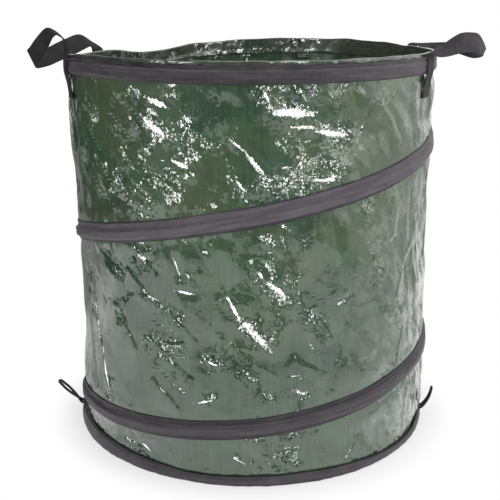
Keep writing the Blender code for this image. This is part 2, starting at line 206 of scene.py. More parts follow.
@dataclass(frozen=True)
class FootLine:
    """The base ribbon, which rolls under in front.

    The tables give, at angles in degrees, the upper edge's height and the lower roll's bulge in
    mm, and the painted sheen's brightness. The ribbon turns under at one height, over a quarter
    round.
    """

    turn_z: float = 0.0024
    turn_length: float = 0.0036
    top: tuple = (
        (0, 16.0), (14, 19.0), (40, 24.0), (150, 26.3), (190, 26.6), (198, 25.5), (210, 20.8),
        (218, 19.6), (229, 17.4), (239, 15.2), (249, 11.9), (258, 11.2), (271, 11.9), (288, 12.7),
        (300, 11.0), (316, 8.4), (325, 7.3), (334, 6.8), (342, 8.6), (351, 13.4),
    )
    roll: tuple = (
        (0, 1.4), (200, 1.1), (235, 0.9), (245, 1.0), (262, 2.2), (285, 2.6), (303, 3.0),
        (312, 2.2), (320, 1.4), (330, 1.0), (340, 0.4), (352, 0.6),
    )
    # Painted sheen: how light the base ribbon is painted at each angle round the bag.
    satin_painted_sheen: tuple = (
        (0, 0.34), (190, 0.08), (225, 0.12), (245, 0.30), (262, 0.38), (290, 0.32), (315, 0.44),
        (345, 0.36),
    )

    def height(self, angle: Array) -> Array:
        """Return the height of the ribbon's upper edge at these angles."""
        return from_table(self.top, angle) / MM

    def stands(self, angle: Array) -> Array:
        """Return how far the ribbon's lower roll stands out at these angles."""
        return from_table(self.roll, angle) / MM


FOOT = FootLine()


@dataclass(frozen=True)
class SpiralRoute:
    """The rising line of the spring wire, which the ribbon and the wall follow.

    Its angles are unwound: they count on past a full turn. The climb gives, at angles in degrees,
    the share of the way from the wire's lowest height to its highest.
    """

    low: float = 0.01345
    high: float = 0.48435
    lap: float = 0.011 / SIZES.wire
    first: float = math.radians(120)
    last: float = math.radians(875)
    sewn_from: float = math.radians(148)
    sewn_span: float = math.radians(716)
    climb: tuple = (
        (165, 0.040), (208, 0.082), (270, 0.128), (338, 0.209), (566, 0.570),
        (697, 0.778), (775, 0.900), (815, 0.955), (845, 0.989),
    )

    def height(self, angle: Array) -> Array:
        """Return the wire's height at these unwound angles."""
        begin, end = self.first + self.lap, self.last - self.lap
        knots = [(begin, 0.0), (begin + self.lap, 0.0)]
        knots += [(math.radians(degrees), share) for degrees, share in self.climb]
        knots += [(end - self.lap, 1.0), (end, 1.0)]
        at, share = np.array(knots).T
        slope = np.zeros(len(at))
        slope[1:-1] = (share[2:] - share[:-2]) / (at[2:] - at[:-2])
        slope[(share == 0.0) | (share == 1.0)] = 0.0
        angle = np.clip(angle, begin, end)
        i = np.clip(np.searchsorted(at, angle, side="right") - 1, 0, len(at) - 2)
        width = at[i + 1] - at[i]
        t = (angle - at[i]) / width
        value = (
            (2 * t**3 - 3 * t**2 + 1) * share[i] + (t**3 - 2 * t**2 + t) * width * slope[i]
            + (3 * t**2 - 2 * t**3) * share[i + 1] + (t**3 - t**2) * width * slope[i + 1]
        )
        return self.low + (self.high - self.low) * value

    def clearance(self, angle: Array, z: Array) -> Array:
        """Return how far each point of the wall is from the nearest ribbon's edge."""
        half = SIZES.ribbon / 2
        near = np.minimum(z - FOOT.height(angle), SIZES.rim_ribbon_foot - z)
        for lap in range(4):
            unwound = np.mod(angle, TURN) + lap * TURN
            inside = (unwound > self.first) & (unwound < self.last)
            away = np.abs(z - self.height(unwound)) - half
            near = np.where(inside, np.minimum(near, away), near)
        return near


SPIRAL = SpiralRoute()


@dataclass(frozen=True)
class MouthLine:
    """The mouth's edge, which dips at the back left: its height in mm at angles in degrees."""

    level: float = 0.5003
    crest: tuple = (
        (0, 498.6), (11, 498.0), (20, 497.4), (34, 499.3), (43, 500.6), (55, 501.4), (65, 501.7),
        (77, 501.1), (94, 498.4), (105, 497.0), (113, 495.4), (120, 490.0), (125, 486.0),
        (130, 484.2), (135, 485.5), (140, 488.6), (148, 490.6), (158, 490.6), (170, 490.0),
        (180, 491.2), (190, 494.8), (200, 498.4), (210, 501.0), (220, 501.8), (236, 501.0),
        (252, 500.4), (270, 500.2), (300, 500.4), (325, 500.2), (345, 499.2),
    )

    def sway(self, angle: Array) -> Array:
        """Return how far the ring is above its level place at these angles."""
        at, height = np.array(self.crest).T
        degrees = np.degrees(angle)
        total = sum(np.interp(degrees + off, at, height, period=360.0) for off in (-3, -1, 1, 3))
        return total / 4 / MM - self.level

    def sinking(self, angle: Array, z: Array) -> Array:
        """Return the sway of a point of the side, which fades out down the wall."""
        return self.sway(angle) * eased((z - 0.30) / 0.165)


MOUTH = MouthLine()


@dataclass(frozen=True)
class SideShape:
    """The left and right of the bag, which lean in and swell out: mm inwards at heights in mm.

    Each dent is full near its middle, and has faded out at half its width, all in degrees.
    """

    left: tuple = (
        (0, 0.0), (46, 0.6), (75, 0.0), (100, 1.3), (112, 2.3), (125, 3.2), (146, 3.3), (163, 3.0),
        (180, 4.2), (214, 5.2), (234, 5.6), (250, 4.6), (263, 4.4), (280, 2.6), (296, 1.2),
        (315, 0.3), (344, -0.3), (360, -1.9), (376, -3.9), (391, -4.6), (406, -4.1), (424, -3.2),
        (437, -2.6), (452, -0.4), (464, 0.0), (500, 0.0),
    )
    right: tuple = (
        (0, 0.0), (8, 0.0), (25, -4.6), (44, -4.4), (76, -3.9), (94, -3.4), (112, -3.0),
        (129, -2.6), (146, -2.5), (163, -2.4), (180, -2.9), (197, -4.6), (214, -4.8), (234, -1.9),
        (263, -1.8), (296, -1.5), (315, -0.2), (344, 0.0), (360, -2.0), (376, -1.4), (391, -0.4),
        (406, -2.2), (424, -0.4), (437, -3.2), (452, -3.6), (464, -3.0), (473, 0.0), (500, 0.0),
    )
    left_middle: float = 191.0
    right_middle: float = 349.0
    full: float = 8.0
    half: float = 34.0

    def inwards(self, angle: Array, z: Array) -> Array:
        """Return how far the wall and its ribbon lie nearer to the middle at these points."""
        total = np.zeros(np.broadcast(angle, z).shape)
        for middle, table in ((self.left_middle, self.left), (self.right_middle, self.right)):
            off = np.abs(np.mod(np.degrees(angle) - middle + 180, 360) - 180)
            near = 1 - eased((off - self.full) / (self.half - self.full))
            height, depth = np.array(table).T
            level = sum(np.interp(z * MM + up, height, depth) for up in (-5, 0, 5)) / 3 / MM
            total = total + near * level * eased((z - FOOT.height(angle) - 0.001) / 0.010)
        return total


DENT = SideShape()


@dataclass(frozen=True)
class FoldLines:
    """The sharp creases pressed into the tarpaulin, and the flat places that shine.

    Each crease is (degrees, mm) at one end, (degrees, mm) at the other, and in tenths how much it
    lifts the cloth and how far the film beside it is crumpled. Each shining place is (tenths of a
    degree, mm) at both ends and its half width in tenths of a mm. Further creases are scattered
    round the back.
    """

    pressed: tuple = (
        (263, 238, 276, 173, 1, 8), (247, 276, 250, 261, 1, 5), (236, 278, 238, 272, 1, 10),
        (272, 269, 279, 240, 1, 8), (273, 303, 277, 289, 7, 9), (296, 220, 302, 228, 1, 4),
        (257, 153, 265, 158, 1, 10), (237, 170, 249, 172, 7, 9), (254, 102, 258, 106, 1, 5),
        (282, 119, 285, 116, 1, 6), (302, 329, 325, 228, -7, 1), (203, 222, 219, 73, -10, 8),
        (280, 60, 289, 63, 8, 5), (229, 27, 240, 17, 9, 8), (264, 33, 269, 27, 1, 5),
        (274, 33, 281, 29, 8, 8), (299, 20, 304, 41, 1, 5), (258, 416, 270, 350, 1, 6),
        (267, 356, 297, 374, 3, 10), (274, 466, 277, 441, 1, 8), (276, 443, 287, 441, 1, 6),
        (280, 430, 298, 417, 1, 9), (279, 414, 296, 368, 3, 10), (235, 462, 248, 417, 2, 9),
        (248, 391, 254, 383, 1, 4), (239, 377, 247, 362, 6, 7), (265, 377, 268, 357, 1, 2),
        (272, 474, 296, 466, 3, 9), (228, 456, 236, 424, 4, 7), (283, 398, 290, 381, 4, 10),
        (218, 262, 228, 244, 5, 8), (226, 206, 233, 146, 7, 3), (242, 152, 252, 131, 7, 7),
        (262, 205, 258, 168, 6, 4), (288, 214, 292, 178, 7, 7), (301, 192, 309, 150, 8, 3),
        (283, 157, 291, 134, 7, 5), (246, 208, 253, 177, 8, 4), (268, 140, 275, 112, 8, 6),
        (311, 232, 318, 188, 7, 3), (286, 300, 281, 262, 3, 8), (306, 128, 318, 108, 8, 4),
        (231, 250, 243, 214, 8, 3), (294, 108, 303, 84, 8, 4), (240, 120, 247, 90, 8, 4),
        (290, 250, 298, 232, 6, 4), (303, 268, 312, 252, 5, 5), (309, 66, 322, 84, 7, 4),
        (257, 44, 251, 22, 7, 4), (213, 452, 222, 410, 5, 9), (211, 396, 224, 352, 6, 8),
        (222, 378, 234, 338, 5, 5), (210, 340, 222, 316, 5, 5), (228, 344, 240, 322, -4, 5),
        (225, 420, 232, 394, -4, 8), (310, 445, 317, 405, 9, 2), (326, 449, 331, 409, 8, 3),
        (317, 339, 318, 287, 9, 2), (318, 287, 324, 252, -9, 2), (330, 336, 335, 303, 8, 2),
        (334, 302, 327, 257, 9, 2), (330, 265, 323, 239, -8, 2), (323, 239, 320, 207, 9, 2),
        (320, 207, 327, 177, 8, 2), (329, 222, 331, 148, 9, 2), (325, 159, 321, 121, 8, 2),
    )
    shining: tuple = (
        (2737, 467, 2763, 444, 23), (2753, 445, 2865, 443, 58), (2812, 429, 2879, 428, 21),
        (2885, 424, 2970, 417, 38), (2644, 416, 2682, 403, 23), (2682, 403, 2740, 375, 29),
        (2874, 370, 2958, 371, 42), (2384, 437, 2467, 415, 36), (2406, 458, 2462, 450, 34),
        (2656, 374, 2685, 358, 17), (2393, 375, 2437, 372, 13), (2480, 390, 2522, 384, 27),
        (2633, 235, 2668, 208, 19), (2668, 210, 2747, 173, 46), (2714, 268, 2735, 258, 23),
        (2740, 254, 2795, 237, 36), (2484, 239, 2536, 237, 17), (2476, 279, 2493, 260, 13),
        (2352, 276, 2387, 272, 29), (2956, 220, 3010, 227, 21), (2540, 102, 2587, 108, 15),
        (2818, 121, 2855, 114, 19), (2645, 35, 2681, 28, 23), (2995, 18, 3035, 38, 17),
        (2347, 32, 2375, 25, 21), (2567, 156, 2598, 151, 19), (2098, 190, 2123, 164, 30),
        (2123, 164, 2150, 126, 50), (2150, 126, 2193, 80, 35),
    )
    stretch: float = 0.58
    behind: int = 44
    seed: int = 301
    band: float = 0.034

    def ovals(self) -> list[tuple]:
        """Return the flat, shining places as ovals on the cloth.

        Returns:
            For each, its middle, half its length and width, and how far its length is turned.
        """
        found = []
        for a0, z0, a1, z1, wide in self.shining:
            first, last = (
                Vector(((math.radians(a / 10) - SIZES.seam_angle) * SIZES.wall, z / MM))
                for a, z in ((a0, z0), (a1, z1))
            )
            way = last - first
            found.append(((first + last) / 2, way.length * self.stretch, wide / 10 / MM,
                          math.atan2(way.y, way.x)))
        return found

    def shine(self, u: Array, v: Array) -> Array:
        """Return how near each place on the cloth is to a flat, shining one, from 0 to 1."""
        nearest = np.full(len(u), 9.0)
        for middle, long, wide, turn in self.ovals():
            x, y = u - middle.x, v - middle.y
            along = (x * math.cos(turn) + y * math.sin(turn)) / (long + 0.003)
            across = (y * math.cos(turn) - x * math.sin(turn)) / (wide + 0.003)
            nearest = np.minimum(nearest, np.hypot(along, across))
        return 1 - eased((nearest - 0.8) / 0.7)

    def runs(self) -> list[tuple]:
        """Return all creases: the pressed ones and scattered ones round the back."""
        found = [(*row[:4], row[4] / 10, row[5] / 10) for row in self.pressed]
        for i in range(self.behind):
            number = [float(scattered(np.array([i]), np.array([k]), self.seed)[0])
                      for k in range(6)]
            start, height = -28 + 224 * number[0], 30 + 435 * number[1]
            slant = 8 + 14 * number[2]
            drop = (20 + 60 * number[3]) * (1 if number[4] > 0.2 else -0.4)
            lift = (0.4 + 0.6 * number[5]) * (1 if number[2] > 0.4 else -1)
            found.append((start, height, start + slant, height - drop, lift,
                          0.3 + 0.7 * number[4]))
        return found

    def measure(self, angle: Array, z: Array) -> tuple:
        """Measure each point of the wall against its nearest crease.

        Args:
            angle: The points' angles.
            z: Their heights.

        Returns:
            Distances above the crease line in metres, its lift there, and how far the film is
            crumpled.
        """
        near = np.full(len(angle), 1.0)
        away, lift, rough = np.zeros((3, len(angle)))
        for a0, z0, a1, z1, raised, crumpled in self.runs():
            first = np.array((math.radians(a0) * SIZES.wall, z0 / MM))
            last = np.array((math.radians(a1) * SIZES.wall, z1 / MM))
            way = last - first
            long = float(np.linalg.norm(way))
            way = way / long
            side = np.array((-way[1], way[0]))
            side = side if side[1] > 0 else -side
            middle = (first[0] + last[0]) / 2 / SIZES.wall
            off = np.mod(angle - middle + math.pi, TURN) - math.pi
            x = (off + middle) * SIZES.wall - first[0]
            y = z - first[1]
            along, across = x * way[0] + y * way[1], x * side[0] + y * side[1]
            bent = across + 0.0014 * np.sin(along / 0.011 + a0) + 0.0008 * np.sin(along / 0.0047)
            past = np.maximum(np.maximum(-along, along - long), 0.0)
            reach = np.hypot(across, 1.4 * past)
            ends = (1 - eased(past / 0.010)) * (1 - eased((reach - 0.014) / 0.010))
            nearer = reach < near
            near = np.where(nearer, reach, near)
            away = np.where(nearer, bent, away)
            lift = np.where(nearer, raised * ends, lift)
            wide = crumpled * (1 - eased((reach - 0.003) / 0.020))
            rough = np.maximum(rough, wide)
        return np.clip(away, -self.band, self.band), lift, rough


FOLDS = FoldLines()


# Mesh making


@contextmanager
def reshaping(mesh: Mesh) -> Iterator[bmesh.types.BMesh]:
    """Open a mesh to bmesh operators, and write back what they make of it."""
    bm = bmesh.new()
    bm.from_mesh(mesh)
    yield bm
    bm.to_mesh(mesh)
    bm.free()


def points_of(mesh: Mesh) -> Array:
    """Return the places of a mesh's points, a row for each."""
    flat = np.empty(len(mesh.vertices) * 3)
    mesh.vertices.foreach_get("co", flat)
    return flat.reshape(-1, 3)


def corners_of(mesh: Mesh) -> Array:
    """Return which point each corner of each face is on."""
    corner = np.empty(len(mesh.loops), dtype=np.int64)
    mesh.loops.foreach_get("vertex_index", corner)
    return corner


def cloth_places(mesh: Mesh) -> tuple[Array, Array]:
    """Return how far along and how far across the cloth each point of a mesh is, in metres."""
    flat = np.empty(len(mesh.loops) * 2)
    mesh.uv_layers["UVMap"].data.foreach_get("uv", flat)
    placed = np.zeros((len(mesh.vertices), 2))
    placed[corners_of(mesh)] = flat.reshape(-1, 2)
    return placed[:, 0], placed[:, 1]


def mark_points(mesh: Mesh, name: str, values: Array) -> None:
    """Write a number onto each point of a mesh, for its material to read."""
    mesh.attributes.new(name, "FLOAT", "POINT").data.foreach_set("value", values)


def close_ends(mesh: Mesh) -> None:
    """Fill the open ends of a tube and turn its faces outwards."""
    with reshaping(mesh) as bm:
        bmesh.ops.holes_fill(bm, edges=[edge for edge in bm.edges if edge.is_boundary])
        bmesh.ops.recalc_face_normals(bm, faces=bm.faces)


def grid_sheet(name: str, columns: int, rows: int, place: Placing) -> Mesh:
    """Lay a subdivided grid over a surface and join the edges that meet.

    Args:
        name: The mesh's name.
        columns: Steps along the surface's first direction.
        rows: Steps along its second direction.
        place: Takes the two shares from 0 to 1, and gives points and UV places in metres.

    Returns:
        The open mesh, with a UV map.
    """
    mesh = bpy.data.meshes.new(name)
    with reshaping(mesh) as bm:
        bm.loops.layers.uv.new("UVMap")
        bmesh.ops.create_grid(bm, x_segments=columns, y_segments=rows, size=0.5, calc_uvs=True)
    flat = points_of(mesh)
    points, cloth = place(flat[:, 0] + 0.5, flat[:, 1] + 0.5)
    mesh.vertices.foreach_set("co", points.ravel())
    mesh.uv_layers["UVMap"].data.foreach_set("uv", cloth[corners_of(mesh)].ravel())
    with reshaping(mesh) as bm:
        bmesh.ops.remove_doubles(bm, verts=bm.verts, dist=JOIN)
        bmesh.ops.dissolve_degenerate(bm, edges=bm.edges, dist=TINY)
    return mesh


def add_piece(name: str, mesh: Mesh, material: Material) -> Piece:
    """Add an object for this mesh at the origin, smooth and in its material."""
    obj = bpy.data.objects.new(name, mesh)
    bpy.context.scene.collection.objects.link(obj)
    mesh.materials.clear()
    mesh.materials.append(material)
    mesh.shade_smooth()
    return obj


def bake_modifiers(obj: Piece) -> None:
    """Put what an object's modifiers make into its own mesh."""
    graph = bpy.context.evaluated_depsgraph_get()
    shaped = bpy.data.meshes.new_from_object(
        obj.evaluated_get(graph), preserve_all_data_layers=True, depsgraph=graph
    )
    old = obj.data
    obj.modifiers.clear()
    obj.data = shaped
    shaped.name = old.name
    bpy.data.meshes.remove(old)


def thicken(obj: Piece, thickness: float, offset: float, round_off: float = 0.0) -> None:
    """Give an open sheet its thickness, and round its edges if asked."""
    solid = obj.modifiers.new("Thickness", "SOLIDIFY")
    solid.thickness = thickness
    solid.offset = offset
    solid.use_even_offset = False
    if round_off:
        edge = obj.modifiers.new("Edges", "BEVEL")
        edge.width = round_off
        edge.segments = 2
        edge.limit_method = "ANGLE"
        edge.angle_limit = math.radians(60)
    bake_modifiers(obj)


def lay_sheet(name: str, steps: tuple[int, int], place: Placing, cloth: Material,
              thickness: float) -> Piece:
    """Add a plain piece of cloth of this thickness inside a surface.

    Args:
        name: The piece's name.
        steps: Steps along the surface's two directions.
        place: The surface, as for a grid sheet.
        cloth: Its material.
        thickness: Its thickness in metres.

    Returns:
        The object.
    """
    sheet = add_piece(name, grid_sheet(name, *steps, place), cloth)
    thicken(sheet, thickness, -1.0)
    return sheet


def around(radius: Array | float, angle: Array, z: Array) -> Array:
    """Return points at these radii, angles and heights."""
    return np.stack([radius * np.cos(angle), radius * np.sin(angle), z + 0 * angle], axis=1)


def smooth_run(points: Array, steps: int) -> Array:
    """Return a smooth run through these points, with this many steps between each two."""
    ends = np.vstack([2 * points[0] - points[1], points, 2 * points[-1] - points[-2]])
    run = []
    for a, b, c, d in zip(ends, ends[1:], ends[2:], ends[3:]):
        for i in range(steps):
            t = i / steps
            run.append(0.5 * (
                2 * b + (c - a) * t + (2 * a - 5 * b + 4 * c - d) * t**2
                + (3 * b - a - 3 * c + d) * t**3
            ))
    run.append(points[-1])
    return np.array(run)


def lengths_along(run: Array) -> Array:
    """Return each point's distance along a run."""
    return np.concatenate([[0.0], np.cumsum(np.linalg.norm(np.diff(run, axis=0), axis=1))])


def tube(name: str, run: Array, radii: Array, sides: int) -> Mesh:
    """Return a round bar with closed ends along a run.

    Args:
        name: The mesh's name.
        run: The points of its middle line.
        radii: Its radius at each point.
        sides: Steps round it.

    Returns:
        The closed mesh, with its UV map in metres.
    """
    ahead = np.gradient(run, axis=0)
    ahead /= np.linalg.norm(ahead, axis=1)[:, None]
    side = np.cross(ahead[0], (0.0, 0.0, 1.0))
    if np.linalg.norm(side) < 0.1:
        side = np.cross(ahead[0], (1.0, 0.0, 0.0))
    sides_run = []
    for way in ahead:
        side = side - way * (side @ way)
        side = side / np.linalg.norm(side)
        sides_run.append(side)
    across = np.array(sides_run)
    upward = np.cross(ahead, across)
    far = lengths_along(run)

    def place(s: Array, t: Array) -> tuple[Array, Array]:
        """Return the bar's outer face."""
        i = np.clip(np.round(s * (len(run) - 1)).astype(int), 0, len(run) - 1)
        turn = -TURN * t
        out = across[i] * np.cos(turn)[:, None] + upward[i] * np.sin(turn)[:, None]
        points = run[i] + out * radii[i][:, None]
        return points, np.stack([far[i], t * TURN * radii.max()], axis=1)

    mesh = grid_sheet(name, len(run) - 1, sides, place)
    close_ends(mesh)
    return mesh


# Finishes


def colour(red: float, green: float, blue: float) -> tuple:
    """Return an opaque colour."""
    return (red, green, blue, 1.0)


WHITE = colour(1.0, 1.0, 1.0)


class Nodes:
    """A node tree with short calls to add and join nodes."""

    def __init__(self, tree: bpy.types.NodeTree) -> None:
        """Take the tree to add nodes to."""
        self.tree = tree

    def node(self, kind: str, inputs: dict | None = None,
             **settings: str | bool) -> bpy.types.Node:
        """Add a node.

        Args:
            kind: The node's type without its ShaderNode prefix.
            inputs: Values or sockets for its inputs.
            settings: Values for its own options.

        Returns:
            The node.
        """
        made = self.tree.nodes.new("ShaderNode" + kind)
        for key, value in settings.items():
            setattr(made, key, value)
        for key, value in (inputs or {}).items():
            self.feed(made.inputs[key], value)
        return made

    def feed(self, socket: Socket, value: Value) -> None:
        """Join a socket to another, or set its value."""
        if isinstance(value, Socket):
            self.tree.links.new(value, socket)
        else:
            socket.default_value = value

    def math(self, operation: str, a: Value, b: Value = 0.0, c: Value = 0.0) -> Socket:
        """Return a sum, product or other result of up to three numbers."""
        made = self.node("Math", {0: a, 1: b, 2: c}, operation=operation)
        return made.outputs[0]

    def blend_colour(self, factor: Value, a: Value, b: Value) -> Socket:
        """Return a mix of two colours."""
        made = self.node("Mix", {0: factor, 6: a, 7: b}, data_type="RGBA")
        return made.outputs[2]

    def between(self, value: Value, low: float, high: float, start: float = 0.0,
                end: float = 1.0) -> Socket:
        """Return a number moved from one range to another and held inside it."""
        made = self.node(
            "MapRange", {0: value, 1: low, 2: high, 3: start, 4: end}, clamp=True,
            interpolation_type="SMOOTHSTEP",
        )
        return made.outputs[0]

    def place(self, source: str = "Object") -> Socket:
        """Return coordinates: the piece's own ones unless another source is named."""
        return self.node("TexCoord").outputs[source]

    def scaled(self, vector: Socket, scale: tuple, turn: float = 0.0) -> Socket:
        """Return coordinates stretched and turned about the Z axis."""
        made = self.node("Mapping", {"Vector": vector, "Scale": scale, "Rotation": (0, 0, turn)})
        return made.outputs[0]

    def noise(self, vector: Socket, scale: float, detail: float = 2.0, rough: float = 0.5,
              warp: float = 0.0) -> Socket:
        """Return noise with this many cells to the metre."""
        made = self.node("TexNoise", {
            "Vector": vector, "Scale": scale, "Detail": detail, "Roughness": rough,
            "Distortion": warp,
        })
        return made.outputs["Fac"]

    def grain(self, vector: Socket, across: float, up: float, detail: float,
              rough: float) -> Socket:
        """Return noise with these many cells to the metre across and up a cloth."""
        return self.noise(self.scaled(vector, (across, up, 1.0)), 1.0, detail, rough)

    def value(self, attribute: str) -> Socket:
        """Return a number that the mesh holds at its points."""
        return self.node("Attribute", attribute_name=attribute).outputs["Fac"]

    def joined(self, operation: str, a: Value, b: Value) -> Socket:
        """Return a sum, product or other result of two vectors."""
        return self.node("VectorMath", {0: a, 1: b}, operation=operation).outputs[0]

    def longer(self, vector: Socket, factor: Value) -> Socket:
        """Return a vector times a number."""
        made = self.node("VectorMath", {0: vector, "Scale": factor}, operation="SCALE")
        return made.outputs[0]

    def bump(self, height: Value, distance: float, strength: float = 1.0,
             normal: Socket | None = None) -> Socket:
        """Return a normal moved by a height in metres."""
        made = self.node("Bump", {"Height": height, "Distance": distance, "Strength": strength})
        if normal is not None:
            self.feed(made.inputs["Normal"], normal)
        return made.outputs[0]


class Finish(Nodes):
    """A material's node tree, with its Principled shader."""

    def __init__(self, name: str) -> None:
        """Start a material."""
        self.material = bpy.data.materials.new(name)
        self.material.use_nodes = True
        super().__init__(self.material.node_tree)
        self.shader = self.tree.nodes["Principled BSDF"]

    def shade(self, **values: Value) -> None:
        """Set or join inputs of the shader, whose names are given with underscores."""
        for key, value in values.items():
            self.feed(self.shader.inputs[key.replace("_", " ")], value)


@dataclass(frozen=True)
class Tarpaulin:
    """Coated woven tarpaulin: thin tapes of two greens under a glossy film, creased all over.

    The layers are sets of small pieces of film: their length and width, their steepest slopes
    sideways and upwards, and how irregular they are. The upright sets, at the bag's left and
    right, give size, turn in radians and slopes. The flat places lean towards the nearer of two
    angles, lit_from in degrees, at which the wall mirrors the lamps.
    """

    name: str = "tarpaulin_film"
    green: tuple = (0.064, 0.128, 0.064)
    deep: tuple = (0.034, 0.080, 0.044)
    olive: tuple = (0.084, 0.124, 0.060)
    tape: float = 0.0024
    crinkle: float = 1.0
    film_rough: float = 0.05
    grain: float = 1.0
    zoned: tuple = (0.47, 0.70, 0.10)
    folded: bool = True
    lit_from: tuple = (249.7, 280.3)
    layers: tuple = (
        ((0.0034, 0.0026), (0.15, 0.16), 0.9),
        ((0.0015, 0.0042), (0.12, 0.08), 0.9),
        ((0.0008, 0.0027), (0.13, 0.07), 0.8),
    )
    upright: tuple = (
        ((0.0085, 0.046), 0.09, (0.36, 0.07)),
        ((0.0036, 0.015), -0.14, (0.24, 0.08)),
    )

    def leaning(self, g: Finish, vector: Socket, size: tuple, turn: float, slope: tuple,
                amount: Value, even: float = 1.0) -> Socket:
        """Return a slope that changes from one straight-edged piece of film to the next.

        Args:
            g: The material's nodes.
            vector: Places on the cloth in metres.
            size: The length and width of a piece in metres.
            turn: How far its length is turned from level.
            slope: The steepest slopes sideways and upwards.
            amount: How much of the slope shows, a number or a socket.
            even: How irregular the pieces are, up to 1.

        Returns:
            The slopes along the cloth and up it.
        """
        size = (size[0] * self.grain, size[1] * self.grain, 1.0)
        at = g.node("Mapping", {"Vector": vector, "Scale": size, "Rotation": (0, 0, turn)},
                    vector_type="TEXTURE").outputs[0]
        cell = g.node("TexVoronoi", {"Vector": at, "Scale": 1.0, "Randomness": even},
                      voronoi_dimensions="2D", feature="F1")
        lean = g.joined("SUBTRACT", cell.outputs["Color"], (0.5, 0.5, 0.5))
        lean = g.joined("MULTIPLY", lean, (2 * slope[0], 2 * slope[1], 0.0))
        return g.longer(lean, amount)

    def facing_up(self, g: Finish, cloth: Socket) -> Socket:
        """Return the slope of the places that are pressed flat and face up and outwards."""
        split = g.node("SeparateXYZ", {0: cloth})
        first, last = (SIZES.wall * (math.radians(degrees) - SIZES.seam_angle)
                       for degrees in self.lit_from)
        right = g.math("GREATER_THAN", split.outputs[0], first + 0.034)
        middle = g.math("MULTIPLY_ADD", right, last - first, first)
        across = g.math("MULTIPLY", g.math("SUBTRACT", middle, split.outputs[0]), 4.44)
        across = g.math("MAXIMUM", g.math("MINIMUM", across, 0.70), -0.30)
        leftmost = g.math("POWER", g.math("MAXIMUM", across, 0.0), 3.0)
        across = g.math("MULTIPLY_ADD", leftmost, 0.9, across)
        up = g.math("MULTIPLY_ADD", split.outputs[1], -0.80, 0.52)
        return g.node("CombineXYZ", {0: across, 1: up}).outputs[0]

    def flattened(self, g: Finish, cloth: Socket) -> Socket:
        """Return 1 on the flat, shining places and 0 away from them, with a ragged edge."""
        nearest = 9.0
        for middle, long, wide, turn in FOLDS.ovals():
            at = g.node("Mapping", {
                "Vector": cloth, "Location": (*middle, 0.0), "Rotation": (0, 0, turn),
                "Scale": (long, wide, 1.0),
            }, vector_type="TEXTURE").outputs[0]
            far = g.node("VectorMath", {0: at}, operation="LENGTH").outputs["Value"]
            nearest = g.math("MINIMUM", far, nearest)
        ragged = g.grain(cloth, 240.0, 190.0, 2.0, 0.6)
        threads = g.grain(cloth, 900.0, 620.0, 2.0, 0.6)
        nearest = g.math("ADD", nearest, g.math("MULTIPLY_ADD", ragged, 2.0, -0.95))
        nearest = g.math("ADD", nearest, g.math("MULTIPLY_ADD", threads, 1.7, -0.85))
        return g.between(nearest, 0.82, 1.04, 1.0, 0.0)

    def weave(self, g: Finish, cloth: Socket) -> Socket:
        """Return the height of the crossing tapes."""
        split = g.node("SeparateXYZ", {0: cloth})
        warp = g.math("SINE", g.math("MULTIPLY", split.outputs[0], math.pi / self.tape))
        weft = g.math("SINE", g.math("MULTIPLY", split.outputs[1], math.pi / self.tape))
        return g.math("MULTIPLY", warp, weft)

    def tinted(self, g: Finish, at: Socket, cloth: Socket) -> Socket:
        """Return the tapes' colour: two greens and olive, which change from tape to tape."""
        streak = g.grain(cloth, 430.0, 14.0, 2.0, 0.6)
        lines = g.grain(cloth, 18.0, 520.0, 1.0, 0.5)
        ragged = g.math("MULTIPLY_ADD", streak, 0.22, -0.11)
        ragged = g.math("MULTIPLY_ADD", lines, 0.10, ragged)
        broad = g.math("ADD", g.noise(at, 17.0, 3.0, 0.6, 0.7), ragged)
        shaded = g.math("ADD", g.noise(g.joined("ADD", at, (3.0, 1.0, 2.0)), 13.0, 3.0, 0.6, 0.9),
                        ragged)
        tone = g.blend_colour(g.between(shaded, 0.44, 0.66), colour(*self.deep),
                              colour(*self.green))
        split = g.node("SeparateXYZ", {0: at}).outputs
        plain = g.between(split[2], 0.16, 0.34, 0.45, 1.0)
        rightward = g.math("MULTIPLY", g.between(split[0], 0.02, 0.17, 0.0, 0.16), plain)
        brown = g.math("MULTIPLY", g.between(g.math("ADD", broad, rightward), 0.54, 0.72), plain)
        tone = g.blend_colour(brown, tone, colour(*self.olive))
        shade = g.math("MULTIPLY_ADD", streak, 0.56, 0.55)
        shade = g.math("MULTIPLY_ADD", lines, 0.22, shade)
        # Painted shade: the tapes are darkened towards the bottom of the bag.
        low = g.between(split[2], 0.10, 0.36, 0.80, 1.0)
        shade = g.math("MULTIPLY", shade, low)
        made = g.node("Mix", {0: 1.0, 6: tone, 7: shade}, data_type="RGBA", blend_type="MULTIPLY")
        return made.outputs[2]

